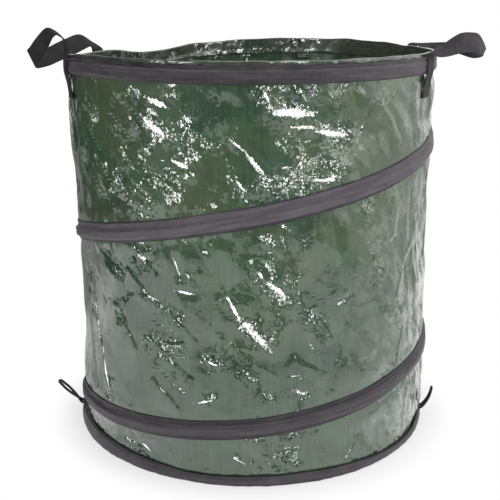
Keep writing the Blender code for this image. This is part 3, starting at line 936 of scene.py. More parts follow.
    def make(self) -> Material:
        """Return the material."""
        g = Finish(self.name)
        at, cloth = g.place("Object"), g.place("UV")
        wobble = g.node("TexNoise", {"Vector": at, "Scale": 55.0, "Detail": 2.0}).outputs[1]
        bent = g.node("VectorMath", {0: wobble, 1: (0.012, 0.012, 0.0), 2: cloth},
                      operation="MULTIPLY_ADD").outputs[0]
        loose = g.noise(at, 15.0, 3.0, 0.6, 1.0)
        pressed = g.value("crumple") if self.folded else 0.0
        side = g.value("side") if self.folded else 0.0
        zone = g.between(g.math("MULTIPLY_ADD", pressed, 0.21, loose), *self.zoned)
        k = self.crinkle
        slopes = self.leaning(g, bent, (0.036, 0.020), -0.9, (0.080 * k, 0.075 * k), 1.0)
        slopes = g.joined("ADD", slopes, self.leaning(
            g, bent, (0.013, 0.007), -0.6, (0.20 * k, 0.20 * k), zone))
        for size, slope, even in self.layers:
            slopes = g.joined("ADD", slopes, self.leaning(
                g, cloth, size, 0.0, (slope[0] * k, slope[1] * k), zone, even))
        if self.folded:
            flat, up = self.flattened(g, cloth), self.facing_up(g, cloth)
            split = g.node("SeparateXYZ", {0: at}).outputs
            rough = g.math("MULTIPLY", g.between(zone, 0.45, 1.0),
                           g.between(split[2], 0.10, 0.35, 0.30, 0.50))
            rough = g.math("MULTIPLY", rough, g.between(split[0], -0.20, -0.12, 0.55, 1.0))
            slopes = g.longer(slopes, g.math("MULTIPLY_ADD", flat, -0.82, 1.0))
            slopes = g.joined("ADD", slopes, g.longer(up, g.math("MAXIMUM", flat, rough)))
            for size, turn, slope in self.upright:
                slopes = g.joined("ADD", slopes, self.leaning(g, bent, size, turn, slope, side))
        tilt = g.joined("ADD", g.longer(slopes, 0.5), (0.5, 0.5, 1.0))
        normal = g.node("NormalMap", {"Color": tilt}, uv_map="UVMap").outputs[0]
        if self.folded:
            away, lift = g.value("fold_away"), g.value("fold_lift")
            above = g.between(away, -0.0005, 0.0065, 1.0, 0.0)
            below = g.between(away, -0.024, 0.0005, 0.0, 1.0)
            ridge = g.math("MULTIPLY", g.math("MINIMUM", above, below), lift)
            normal = g.bump(ridge, 0.0019, 1.0, normal)
        normal = g.bump(self.weave(g, cloth), 0.000012, 1.0, normal)
        g.shade(
            Base_Color=self.tinted(g, at, cloth), Roughness=0.30, IOR=1.50, Normal=normal,
            Coat_Weight=1.0, Coat_Roughness=self.film_rough, Coat_IOR=1.74, Coat_Normal=normal,
        )
        return g.material


@dataclass(frozen=True)
class SatinRibbon:
    """Woven polyester ribbon: fine cross ribs, a satin tunnel, darker edges and its seams."""

    name: str
    seams: tuple
    # face and edge are the light and dark ends of the ribbon's painted sheen and shade.
    face: tuple = (0.142, 0.125, 0.143)
    edge: tuple = (0.026, 0.023, 0.027)
    thread: tuple = (0.150, 0.136, 0.150)
    rib: float = 0.0009
    stitch: float = 0.0034

    def sewn(self, g: Finish, split: bpy.types.Node) -> Socket:
        """Return 1 on the seams' stitches and 0 between them."""
        share = g.math("FRACT", g.math("DIVIDE", split.outputs[0], self.stitch))
        dash = g.between(g.math("ABSOLUTE", g.math("SUBTRACT", share, 0.5)), 0.30, 0.40, 1.0, 0.0)
        rows = 0.0
        for place in self.seams:
            off = g.math("ABSOLUTE", g.math("SUBTRACT", split.outputs[1], place))
            rows = g.math("MAXIMUM", rows, g.between(off, 0.00020, 0.00045, 1.0, 0.0))
        return g.math("MULTIPLY", rows, dash)

    def make(self) -> Material:
        """Return the material, which reads painted sheen and shade from the ribbon's attribute."""
        g = Finish(self.name)
        at, cloth = g.place("Object"), g.place("UV")
        split = g.node("SeparateXYZ", {0: cloth})
        # The attribute gives the painted sheen and shade; the cloudy, broad and patchy noise
        # paints soft highlight streaks over it, and the yarn noise changes the tone thread by
        # thread.
        bright = g.value("satin_painted_sheen")
        broad = g.grain(cloth, 9.0, 60.0, 3.0, 0.6)
        cloudy = g.grain(cloth, 22.0, 280.0, 3.0, 0.6)
        yarn = g.grain(cloth, 900.0, 90.0, 1.0, 0.5)
        patchy = g.noise(g.scaled(cloth, (34.0, 110.0, 1.0), 0.5), 1.0, 2.0, 0.55)
        painted_light_tone = g.math("MULTIPLY_ADD", cloudy, 1.30, g.math("MULTIPLY_ADD", broad, 1.0, -1.15))
        painted_light_tone = g.math("MULTIPLY_ADD", patchy, 0.80, g.math("SUBTRACT", painted_light_tone, 0.40))
        painted_light_tone = g.math("MULTIPLY_ADD", yarn, 0.30, g.math("SUBTRACT", painted_light_tone, 0.15))
        factor = g.node("Clamp", {0: g.math("MULTIPLY_ADD", painted_light_tone, 0.75, bright)}).outputs[0]
        tone = g.blend_colour(factor, colour(*self.edge), colour(*self.face))
        stitches = self.sewn(g, split)
        tone = g.blend_colour(g.math("MULTIPLY", stitches, 0.7), tone, colour(*self.thread))
        ribs = g.math("SINE", g.math("MULTIPLY", split.outputs[0], TURN / self.rib))
        normal = g.bump(ribs, 0.00004)
        normal = g.bump(g.grain(cloth, 55.0, 330.0, 3.0, 0.6), 0.0010, 0.8, normal)
        normal = g.bump(g.grain(cloth, 150.0, 60.0, 2.0, 0.5), 0.0005, 0.7, normal)
        normal = g.bump(g.noise(at, 700.0, 2.0, 0.5), 0.00008, 0.7, normal)
        normal = g.bump(stitches, 0.00035, 1.0, normal)
        g.shade(Base_Color=tone, Roughness=0.42, IOR=1.38, Normal=normal, Sheen_Weight=0.05,
                Sheen_Roughness=0.4)
        return g.material


@dataclass(frozen=True)
class Webbing:
    """Woven polypropylene webbing: coarse cross ribs, a matt black-grey yarn, and painted light.
    """

    name: str
    yarn: tuple
    painted_light_tone: tuple
    rib: float = 0.0017
    cord: float = 0.0021

    def make(self) -> Material:
        """Return the material."""
        g = Finish(self.name)
        cloth, at = g.place("UV"), g.place("Object")
        split = g.node("SeparateXYZ", {0: cloth})
        wander = g.math("MULTIPLY", g.noise(at, 160.0, 2.0), 1.2)
        along = g.math("ADD", g.math("MULTIPLY", split.outputs[0], TURN / self.rib), wander)
        across = g.math("MULTIPLY", split.outputs[1], TURN / self.cord)
        ribs = g.math("MULTIPLY", g.math("SINE", along), g.math("SINE", across))
        ribs = g.math("MULTIPLY_ADD", g.math("SINE", along), 0.6, ribs)
        fuzz = g.noise(at, 1400.0, 2.0, 0.7)
        # The strap's attribute paints light and shade along it, the noise adds patchy tone, and
        # the ribs are painted a little paler on their crests, a painted highlight.
        patchy = g.math("MULTIPLY_ADD", g.noise(at, 55.0, 3.0, 0.6), 1.1, -0.55)
        patchy = g.math("MULTIPLY_ADD", ribs, 0.10, patchy)
        painted_light_share = g.node("Clamp", {0: g.math("ADD", patchy, g.value("painted_light_tone"))}).outputs[0]
        tone = g.blend_colour(painted_light_share, colour(*self.yarn), colour(*self.painted_light_tone))
        normal = g.bump(ribs, 0.00013)
        normal = g.bump(fuzz, 0.0001, 0.6, normal)
        g.shade(Base_Color=tone, Roughness=0.80, IOR=1.33, Normal=normal, Sheen_Weight=0.04,
                Sheen_Roughness=0.4)
        return g.material


@dataclass(frozen=True)
class Braid:
    """Braided black elastic: two sets of crossing strands."""

    name: str = "black_elastic"
    strand: tuple = (0.008, 0.007, 0.008)
    proud: tuple = (0.030, 0.028, 0.031)
    pitch: float = 0.0022

    def make(self) -> Material:
        """Return the material."""
        g = Finish(self.name)
        split = g.node("SeparateXYZ", {0: g.place("UV")})
        turn = TURN / self.pitch
        left, right = (
            g.math("SINE", g.math("MULTIPLY", g.math(way, *split.outputs[:2]), turn))
            for way in ("ADD", "SUBTRACT")
        )
        plait = g.math("MULTIPLY", left, right)
        # Painted highlight: the raised crossings of the plait are painted lighter than the strands
        # between them.
        tone = g.blend_colour(g.between(plait, -0.6, 0.8), colour(*self.strand),
                              colour(*self.proud))
        g.shade(Base_Color=tone, Roughness=0.62, Normal=g.bump(plait, 0.00018), Sheen_Weight=0.2)
        return g.material


@dataclass(frozen=True)
class Metal:
    """Drawn wire or a pressed ferrule, with fine lines and dull patches."""

    name: str
    tone: tuple
    rough: float

    def make(self) -> Material:
        """Return the material."""
        g = Finish(self.name)
        at = g.place("Object")
        dull = g.noise(at, 90.0, 3.0, 0.6)
        scratch = g.noise(g.scaled(at, (900.0, 900.0, 120.0)), 1.0, 2.0, 0.6)
        tone = g.blend_colour(dull, colour(*(0.7 * c for c in self.tone)), colour(*self.tone))
        rough = g.math("MULTIPLY_ADD", scratch, 0.25, self.rough)
        g.shade(Base_Color=tone, Metallic=1.0, Roughness=rough, Normal=g.bump(scratch, 0.00003))
        return g.material


# Camera, floor and lamps


@dataclass(frozen=True)
class Studio:
    """The photograph's viewpoint, a white sweep and soft lamps.

    The focal length is in pixels of the photograph. Each lamp has its place, the length of its
    side and its brightness.
    """

    eye: tuple = (-0.00135, -1.2296, 0.5734)
    pitch: float = 0.2746
    roll: float = math.radians(-0.24)
    focal: float = 925.5
    pixels: float = 500.0
    sensor: float = 36.0
    paper: tuple = ((-1.35, -1.16), (3.4, 3.0))
    target: tuple = (0.0, 0.0, 0.3)
    lamps: tuple = (
        ("left_lamp", (-1.45, -1.55, 0.78), 0.55, 13.0),
        ("right_lamp", (0.78, -2.00, 0.78), 0.55, 13.0),
        ("side_lamp", (2.0, -1.15, 1.1), 1.2, 1.7),
        ("top_lamp", (0.0, -0.1, 2.4), 1.5, 2.0),
    )

    def add_camera(self) -> None:
        """Add the camera at the photograph's place and angle."""
        c, s = math.cos(self.pitch), math.sin(self.pitch)
        ahead, level, upward = Vector((0, c, -s)), Vector((1, 0, 0)), Vector((0, s, c))
        right = math.cos(self.roll) * level + math.sin(self.roll) * upward
        top = -math.sin(self.roll) * level + math.cos(self.roll) * upward
        data = bpy.data.cameras.new("photo_camera")
        data.sensor_width = self.sensor
        data.lens = self.focal * self.sensor / self.pixels
        camera = bpy.data.objects.new("photo_camera", data)
        bpy.context.scene.collection.objects.link(camera)
        turn = Matrix((right, top, -ahead)).transposed().to_4x4()
        camera.matrix_world = Matrix.Translation(self.eye) @ turn
        bpy.context.scene.camera = camera

    def add_floor(self) -> None:
        """Add the white floor, which shows pure white away from the bag."""
        low, high = self.paper
        spread = Matrix.Diagonal((high[0] - low[0], high[1] - low[1], 1.0, 1.0))
        middle = Matrix.Translation(((low[0] + high[0]) / 2, (low[1] + high[1]) / 2, -0.0004))
        mesh = bpy.data.meshes.new("studio_floor")
        with reshaping(mesh) as bm:
            bmesh.ops.create_grid(bm, x_segments=12, y_segments=12, size=0.5,
                                  matrix=middle @ spread)
        g = Finish("floor_paper")
        at = g.place("Object")
        shade = g.blend_colour(g.noise(at, 60.0, 2.0), colour(0.90, 0.90, 0.90),
                               colour(0.93, 0.93, 0.93))
        g.shade(Base_Color=shade, Roughness=0.9, Specular_IOR_Level=0.0)
        path = g.node("LightPath")
        reach = g.node("VectorMath", {0: at}, operation="LENGTH").outputs["Value"]
        far = g.between(reach, 0.236, 0.290, 0.68, 1.0)
        seen = g.math("MULTIPLY", path.outputs["Is Camera Ray"], far)
        white = g.node("Emission", {"Color": WHITE, "Strength": 1.0})
        first = g.node("MixShader", {0: seen, 1: g.shader.outputs[0], 2: white.outputs[0]})
        # Seen in the bag's film the floor glows unevenly: darker behind the bag's left, with a
        # painted shadow beside the bag's left foot, dimmer far to the right and in front, and
        # patchy.
        split = g.node("SeparateXYZ", {0: at}).outputs
        behind = g.math("MULTIPLY", g.between(split[1], 0.10, 0.45),
                        g.between(split[0], -0.05, 0.45, 0.78, 0.0))
        beside = g.math("MULTIPLY", g.between(reach, 0.45, 0.62, 0.48, 0.0),
                        g.between(split[1], -0.12, 0.02))
        beside = g.math("MULTIPLY", beside, g.between(split[0], -0.25, -0.05, 1.0, 0.0))
        behind = g.math("MAXIMUM", behind, beside)
        sheet = g.math("MULTIPLY", g.math("SUBTRACT", 1.02, behind),
                       g.math("MULTIPLY_ADD", g.noise(at, 3.2, 2.0), 0.6, 0.70))
        sheet = g.math("MULTIPLY", sheet, g.between(split[0], 0.55, 1.15, 1.0, 0.60))
        sheet = g.math("MULTIPLY", sheet, g.between(split[1], -1.15, -0.45, 0.70, 1.04))
        pale = g.node("Emission", {"Color": WHITE, "Strength": sheet})
        second = g.node("MixShader", {0: path.outputs["Is Glossy Ray"], 1: first.outputs[0],
                                      2: pale.outputs[0]})
        g.tree.links.new(second.outputs[0], g.tree.nodes["Material Output"].inputs[0])
        floor = add_piece("studio_floor", mesh, g.material)

    def add_world(self) -> None:
        """Add the surroundings: white to the camera, dim in front, bright behind and beside."""
        world = bpy.data.worlds.new("studio_air")
        world.use_nodes = True
        bpy.context.scene.world = world
        world.node_tree.nodes.clear()
        g = Nodes(world.node_tree)
        facing = g.node("VectorMath", {0: g.place("Generated"), 1: (1.10, 1.0, 0.0)},
                        operation="DOT_PRODUCT").outputs["Value"]
        bright = g.between(facing, 0.05, 0.72, 0.06, 1.0)
        seen, air = (g.node("Background", {0: WHITE, 1: strength}).outputs[0]
                     for strength in (1.0, bright))
        camera = g.node("LightPath").outputs["Is Camera Ray"]
        choose = g.node("MixShader", {0: camera, 1: air, 2: seen}).outputs[0]
        g.node("OutputWorld", {0: choose})

    def add_lamp(self, name: str, place: tuple, side: float, power: float) -> None:
        """Add a square soft lamp that faces the middle of the bag."""
        data = bpy.data.lights.new(name, "AREA")
        data.shape = "SQUARE"
        data.size = side
        data.energy = power
        lamp = bpy.data.objects.new(name, data)
        lamp.location = place
        facing = Vector(self.target) - Vector(place)
        lamp.rotation_euler = facing.to_track_quat("-Z", "Y").to_euler()
        lamp.visible_camera = False
        bpy.context.scene.collection.objects.link(lamp)

    def light(self) -> None:
        """Add the lamps."""
        for name, place, side, bright in self.lamps:
            self.add_lamp(name, place, side, bright * side**2 * math.pi)

    def build(self) -> None:
        """Set up the studio."""
        bpy.context.scene.view_settings.view_transform = "Standard"
        self.add_camera()
        self.add_world()
        self.add_floor()
        self.light()


# The sewn bag


@dataclass
class WallPanel:
    """The tarpaulin wall, bowed in between the ribbons and creased, and the lap inside it."""

    columns: int = 400
    rows: int = 120
    top: float = 0.4825
    seam_angle: float = SIZES.seam_angle
    seam_width: float = 0.014
    lap_foot: float = 0.0138
    lap_top: float = 0.4765
    bow_left: float = 0.0032
    bow_right: float = 0.0012

    def creases(self, angle: Array, z: Array) -> Array:
        """Return how far each point of the wall stands out from its round shape."""
        u = np.mod(angle, TURN) * SIZES.wall
        drift = 0.030 * PATTERN.soft(u, z, 0.085, 11)
        lift = 0.026 * PATTERN.soft(u, z, 0.075, 12)
        u2, z2 = u + drift, z + lift
        large = PATTERN.creased(u2, z2, 0.070, 21, 1.25, 0.55)
        mid = PATTERN.creased(u2, z2, 0.032, 31, 1.4, 0.9)
        small = PATTERN.creased(u + drift * 0.5, z + lift * 0.5, 0.0135, 41, 1.2, 0.3)
        calm = eased(0.5 + 1.2 * PATTERN.soft(u, z, 0.09, 51))
        out = 0.0031 * large + 0.00150 * mid * (0.45 + 0.55 * calm) + 0.00055 * small * calm
        side = self.beside(angle)
        tall = PATTERN.creased(u + 0.25 * drift, z + lift, 0.0125, 61, 5.5, 0.12)
        tall = tall + 0.6 * PATTERN.creased(u + 0.2 * drift, z, 0.007, 71, 6.0, -0.1)
        return out * (1 - 0.35 * side) + 0.0014 * tall * side

    def beside(self, angle: Array) -> Array:
        """Return 1 at the left and right of the bag, where the cloth folds upright, else 0."""
        return eased((np.abs(np.cos(angle)) - 0.74) / 0.20)

    def bowed(self, angle: Array, clear: Array) -> Array:
        """Return how far the cloth hangs in between two ribbons."""
        left = 0.5 - 0.5 * np.cos(angle)
        return -(self.bow_right + (self.bow_left - self.bow_right) * left) * eased(clear / 0.075)

    def near_strap(self, angle: Array, z: Array) -> Array:
        """Return 1 under a handle's sewn ends and 0 away from them."""
        near = np.zeros_like(angle)
        for degrees in (*SIZES.left_strap, *SIZES.right_strap):
            off = np.mod(angle - math.radians(degrees) + math.pi, TURN) - math.pi
            near = np.maximum(near, 1 - eased((np.abs(off) - 0.055) / 0.05))
        return near * eased((z - 0.425) / 0.018)

    def place(self, s: Array, t: Array) -> tuple[Array, Array]:
        """Return the wall's outer face."""
        angle = self.seam_angle + TURN * s
        z = SIZES.wall_foot + (self.top - SIZES.wall_foot) * t
        clear = SPIRAL.clearance(angle, z)
        cloth = np.stack([SIZES.wall * (angle - self.seam_angle), z], axis=1)
        fade = eased((clear - 0.001) / 0.022) * (1 - self.near_strap(angle, z))
        fade = fade * (1 - 0.75 * FOLDS.shine(cloth[:, 0], cloth[:, 1]))
        out = self.creases(angle, z) * fade + self.bowed(angle, clear)
        pucker = 0.0007 * PATTERN.creased(angle * SIZES.wall, z, 0.016, 81, 0.9, 0.0)
        out += pucker * eased(clear / 0.006) * (1 - eased((clear - 0.008) / 0.02)) - 0.0001
        out = np.clip(out, -0.0075, 0.0030)
        out = out - DENT.inwards(angle, z) * (1 - self.near_strap(angle, z))
        return around(SIZES.wall + out, angle, z + MOUTH.sinking(angle, z)), cloth

    def build(self, film: Material, lining: Material) -> Piece:
        """Make the wall and its inner lap, and return the wall."""
        mesh = grid_sheet("wall", self.columns, self.rows, self.place)
        self.mark_folds(mesh)
        wall = add_piece("wall", mesh, film)
        thicken(wall, SIZES.cloth, -1.0)
        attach(wall, "base")
        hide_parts("wall_panel")
        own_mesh(wall)

        def lap(s: Array, t: Array) -> tuple[Array, Array]:
            """Return the lap's outer face, close inside the wall."""
            angle = self.seam_angle + (s - 0.5) * self.seam_width / SIZES.wall
            z = self.lap_foot + (self.lap_top - self.lap_foot) * t
            base, _ = self.place(np.mod((angle - self.seam_angle) / TURN, 1.0),
                                 (z - SIZES.wall_foot) / (self.top - SIZES.wall_foot))
            inner = np.minimum(np.hypot(base[:, 0], base[:, 1]) - 0.0006, 0.2326)
            fold = 0.0003 * np.sin(6 * math.pi * s) - 0.0004 * eased(1 - np.abs(2 * s - 1))
            points = around(inner + fold, angle, base[:, 2])
            return points, np.stack([angle * SIZES.wall, z], axis=1)

        flap = lay_sheet("side_seam_lap", (10, 110), lap, lining, 0.0005)
        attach(flap, "base")
        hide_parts("side_seam")
        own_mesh(flap)
        log.info("wall: %d faces, lap: %d faces", len(wall.data.polygons), len(flap.data.polygons))
        return wall

    def mark_folds(self, mesh: Mesh) -> None:
        """Write onto the wall's points how they lie to the creases."""
        x, y, z = points_of(mesh).T
        angle = np.mod(np.arctan2(y, x), TURN)
        away, lift, rough = FOLDS.measure(angle, z)
        clear = SPIRAL.clearance(angle, z)
        calm = eased((clear - 0.002) / 0.012)
        side = self.beside(angle) * (0.25 + 0.75 * calm)
        side = side * (1 - 0.15 * eased((z - 0.20) / 0.12) * (np.cos(angle) < 0))
        for name, values in (("fold_away", away), ("fold_lift", lift * calm), ("crumple", rough),
                             ("side", side)):
            mark_points(mesh, name, values)


@dataclass
class MouthHem:
    """The tarpaulin turned in over the wall's top edge, with its wrinkles.

    The hem bends over between two shares of the way from its inner foot to its outer one.
    """

    columns: int = 480
    rows: int = 34
    inner: float = 0.2327
    outer: float = 0.2347
    foot: float = 0.4778
    outer_foot: float = 0.4950
    bend: float = 0.0010
    bend_from: float = 0.62
    bend_to: float = 0.78

    def place(self, s: Array, t: Array) -> tuple[Array, Array]:
        """Return the hem's outer face, from inside at the foot, over the top and down outside."""
        angle = TURN * s
        u = angle * SIZES.wall
        go = 1.0 - t
        back = eased((np.sin(angle) + 0.15) / 0.5)
        soft = PATTERN.soft(u, 0 * u, 0.019, 5)
        crest = MOUTH.level + 0.0005 * soft + 0.0009 * back * PATTERN.soft(u, 0 * u, 0.035, 6)
        shoulder = crest - self.bend
        bow = np.clip((go - self.bend_from) / (self.bend_to - self.bend_from), 0.0, 1.0) * math.pi
        middle, half = (self.inner + self.outer) / 2, (self.outer - self.inner) / 2
        inner_z = self.foot + (shoulder - self.foot) * go / self.bend_from
        down = (go - self.bend_to) / (1 - self.bend_to)
        outer_z = shoulder - down * (shoulder - self.outer_foot)
        over_z = shoulder + self.bend * np.sin(bow)
        z = np.where(go < self.bend_from, inner_z, np.where(go < self.bend_to, over_z, outer_z))
        r = middle - half * np.cos(bow)
        ripple = 0.0006 * PATTERN.creased(u, z, 0.012, 15, 1.2, 0.4)
        ripple += 0.0006 * PATTERN.soft(u, z, 0.03, 16)
        r = r - np.abs(ripple) * eased(go / 0.1) * (1 - eased((go - self.bend_from) / 0.08))
        loose = 0.5 + 0.5 * PATTERN.soft(u, 0 * u, 0.05, 17)
        r = r - 0.0014 * back * eased(1 - go / 0.25) * loose
        flap = np.abs(PATTERN.creased(u, z, 0.010, 18, 1.0, 0.8)) * 0.0007
        r = r + flap * eased((go - 0.74) / 0.06) * (1 - eased((go - 0.95) / 0.05))
        points = around(r, angle, z + MOUTH.sinking(angle, z))
        return points, np.stack([u, go * 0.030], axis=1)

    def build(self, lining: Material) -> Piece:
        """Make the hem."""
        hem = lay_sheet("mouth_hem", (self.columns, self.rows), self.place, lining, 0.0003)
        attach(hem, "rim")
        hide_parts("rim_hem")
        log.info("hem: %d faces", len(hem.data.polygons))
        return hem


@dataclass
class FloorPanel:
    """The round floor of the bag and the seam allowance that stands up round it."""

    radius: float = 0.2342
    rings: int = 44
    columns: int = 180

    def floor(self, s: Array, t: Array) -> tuple[Array, Array]:
        """Return the floor's upper face."""
        angle, reach = TURN * s, self.radius * (1 - t)
        x, y = reach * np.cos(angle), reach * np.sin(angle)
        rumple = PATTERN.creased(x + 0.7, y + 0.3, 0.055, 91, 1.0, 0.3)
        rumple += 0.4 * PATTERN.creased(x + 0.7, y + 0.3, 0.022, 92, 1.0, -0.4)
        z = 0.0021 + 0.0007 * rumple * eased((self.radius - reach) / 0.02)
        z = z - 0.0009 * eased((reach - self.radius + 0.012) / 0.01)
        return np.stack([x, y, z], axis=1), np.stack([x, y], axis=1)

    def allowance(self, s: Array, t: Array) -> tuple[Array, Array]:
        """Return the outer face of the seam allowance inside the wall's foot."""
        angle = TURN * s
        u = angle * SIZES.wall
        z = 0.0011 + 0.0121 * t
        r = 0.2327 - 0.0009 * t * (0.5 + 0.5 * PATTERN.creased(u, z, 0.011, 95))
        return around(r, angle, z), np.stack([u, z], axis=1)

    def build(self, film: Material, lining: Material) -> None:
        """Make the floor and its seam allowance."""
        floor = lay_sheet("floor_panel", (self.columns, self.rings), self.floor, film, SIZES.cloth)
        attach(floor, "base")
        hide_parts("base_disc")
        fold = lay_sheet("floor_seam_fold", (360, 6), self.allowance, lining, 0.0003)
        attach(fold, "base")
        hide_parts("base_seam_tape")
        log.info("floor: %d faces, its seam: %d faces", len(floor.data.polygons),
                 len(fold.data.polygons))


class Run(Enum):
    """Where a ribbon is sewn on."""

    RIM = "rim_ribbon"
    BASE = "base_ribbon"
    SPIRAL = "spiral_ribbon"


@dataclass
class Ribbon:
    """A ribbon whose two edges are sewn down, with the wire's tunnel between them."""

    run: Run
    columns: int
    rows: int = 18
    proud: float = 0.0042
    rim_sway: float = float(MOUTH.sway(np.array([math.radians(140)]))[0])

    def bulge(self, w: Array, low: Array, high: Array) -> Array:
        """Return how far the ribbon stands over its tunnel.

        Args:
            w: Places across the ribbon.
            low: Where the tunnel starts.
            high: Where it ends.

        Returns:
            Heights above the sewn margins.
        """
        x = np.clip((w - (low + high) / 2) / ((high - low) / 2), -1.0, 1.0)
        return self.proud * np.clip(1 - np.abs(x) ** 4.5, 0.0, 1.0) ** 0.62

    def puckered(self, u: Array, w: Array, low: float, high: float) -> Array:
        """Return the small waves that the stitches pull into the ribbon."""
        near = np.exp(-(((w - low) / 0.003) ** 2)) + np.exp(-(((w - high) / 0.004) ** 2))
        waves = PATTERN.soft(u, w, 0.007, 101, 1.0) + 0.7 * PATTERN.soft(u, w, 0.016, 102, 0.5)
        return (0.00050 * waves * near + 0.00022 * PATTERN.soft(u, w, 0.022, 103, 0.25)
                - 0.00075 * self.grooved(u, w, low, high))

    def grooved(self, u: Array, w: Array, low: float, high: float) -> Array:
        """Return 1 in the fold that runs along parts of the tunnel and 0 away from it."""
        off = (w - low) / (high - low) - 0.62 - 0.20 * PATTERN.soft(u, 0 * w, 0.06, 104)
        return np.exp(-((off / 0.08) ** 2)) * eased(0.3 + 1.2 * PATTERN.soft(u, 0 * w, 0.055, 105))

    def place(self, s: Array, t: Array) -> tuple[Array, Array, Array]:
        """Return the ribbon's outer face, its UV places and its painted sheen and shade."""
        half = SIZES.ribbon / 2
        w = (t - 0.5) * SIZES.ribbon
        if self.run is Run.SPIRAL:
            angle = SPIRAL.sewn_from + s * SPIRAL.sewn_span
            u = angle * SIZES.wall
            low, high = -half + 0.0030, half - 0.0085
            z = SPIRAL.height(angle) + w + 0.0004 * PATTERN.soft(u, w, 0.05, 111)
            z = z + MOUTH.sinking(angle, SPIRAL.height(angle))
            r = SIZES.margin + self.bulge(w, low, high) + self.puckered(u, w, low, high)
            r = r - DENT.inwards(angle, z)
            # Painted sheen and shade: lighter over the tunnel than on the margins, darker lower
            # down the bag, and darker in the fold along the tunnel.
            climbed = eased((SPIRAL.height(angle) - 0.13) / 0.12)
            first = low - 0.0005 + 0.0026 * (1 - climbed)
            last = high + 0.0002 + climbed * (half - 0.0026 - high)
            painted_light = eased((w - first) / 0.002) * (1 - eased((w - last) / 0.002))
            painted_light = painted_light * (0.36 + 0.44 * climbed) * (1 - 0.5 * self.grooved(u, w, low, high))
        elif self.run is Run.RIM:
            angle = TURN * s
            u = angle * SIZES.wall
            low, high = -half + 0.0012, -half + 0.0205
            z = SIZES.rim_ribbon_foot + half + w
            z = z - 0.72 * np.maximum(w - high, 0.0)
            r = SIZES.margin + self.bulge(w, low, high) + self.puckered(u, w, low, high)
            z = z + MOUTH.sinking(angle, z)
            # Painted sheen and shade: lighter over the tunnel and darker at the front of the bag,
            # with a painted shade over the tunnel's upper part and a thin painted highlight just
            # under it.
            painted_light = eased((w - low) / 0.002) * (1 - eased((w - high + 0.001) / 0.002))
            painted_light = painted_light * (0.14 + 0.40 * eased((np.abs(np.degrees(angle) - 262) - 18) / 40))
            painted_light = painted_light * (1 - 0.72 * eased((w - 0.0031) / 0.0008))
            painted_light = painted_light + 0.34 * np.exp(-(((w - 0.0029) / 0.0005) ** 2))
        else:
            angle = TURN * s
            u = angle * SIZES.wall
            top = FOOT.height(angle)
            down = half - w
            room = top - FOOT.turn_z
            z = np.where(down <= room, top - down, FOOT.turn_z)
            over = np.clip((down - room) / FOOT.turn_length, 0.0, 1.0) * math.pi / 2
            z = np.where(down > room, FOOT.turn_z - 0.0023 * np.sin(over), z)
            inward = np.where(down > room, 0.0022 * (1 - np.cos(over)), 0.0)
            inward = inward + np.clip(down - room - FOOT.turn_length, 0.0, 1.0)
            low, high = 0.0010, np.minimum(0.0208, top - 0.0006)
            fat = FOOT.stands(angle) * (1 - eased((z - 0.004) / 0.010))
            bulge = self.bulge(np.maximum(z, FOOT.turn_z), low - 0.006, high)
            leaving = self.bulge(z - SPIRAL.height(angle), -0.0050, 0.0050)
            r = SIZES.margin + fat + np.maximum(bulge, leaving)
            r = r + self.puckered(u, z, 0.0, 0.02) - inward
            # Painted sheen that changes round the bag, with painted shade along the ribbon's upper
            # edge and at its foot.
            painted_light = from_table(FOOT.satin_painted_sheen, angle)
            painted_light = painted_light * (1 - eased((z - high + 0.001) / 0.002)) * eased((z - 0.002) / 0.003)
        return around(r, angle, z), np.stack([u, w], axis=1), painted_light

    def build(self, satin_painted_sheen: Material) -> Piece:
        """Make the ribbon."""
        name = self.run.value
        mesh = grid_sheet(name, self.columns, self.rows, lambda s, t: self.place(s, t)[:2])
        if self.run is Run.SPIRAL:
            under_rim = SIZES.rim_ribbon_foot + self.rim_sway - 0.0003
            with reshaping(mesh) as bm:
                for z, way in ((SIZES.base_ribbon_top + 0.0003, -1), (under_rim, 1)):
                    bmesh.ops.bisect_plane(
                        bm, geom=[*bm.verts, *bm.edges, *bm.faces], dist=0.00001,
                        plane_co=(0, 0, z), plane_no=(0, 0, way), clear_outer=True,
                    )
        self.mark_painted_sheen(mesh)
        ribbon = add_piece(name, mesh, satin_painted_sheen)
        thicken(ribbon, SIZES.ribbon_thick, -1.0)
        node, body = {
            Run.RIM: ("rim_band", "rim"), Run.BASE: ("base_band", "base"),
            Run.SPIRAL: ("spiral_sleeve", "base"),
        }[self.run]
        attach(ribbon, body)
        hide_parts(node)
        if self.run is Run.SPIRAL:
            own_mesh(ribbon)
        log.info("%s: %d faces", name, len(ribbon.data.polygons))
        return ribbon

    def mark_painted_sheen(self, mesh: Mesh) -> None:
        """Write the ribbon's painted sheen and shade over it, darker near its edges, from its UV
        places.
        """
        half = SIZES.ribbon / 2
        along, across = cloth_places(mesh)
        angle = along / SIZES.wall
        if self.run is Run.SPIRAL:
            s = (angle - SPIRAL.sewn_from) / SPIRAL.sewn_span
        else:
            s = angle / TURN
        painted_light = self.place(s, across / SIZES.ribbon + 0.5)[2]
        edge = eased((half - np.abs(across)) / 0.0016)
        mark_points(mesh, "satin_painted_sheen", (0.12 + 0.88 * painted_light) * (0.35 + 0.65 * edge))


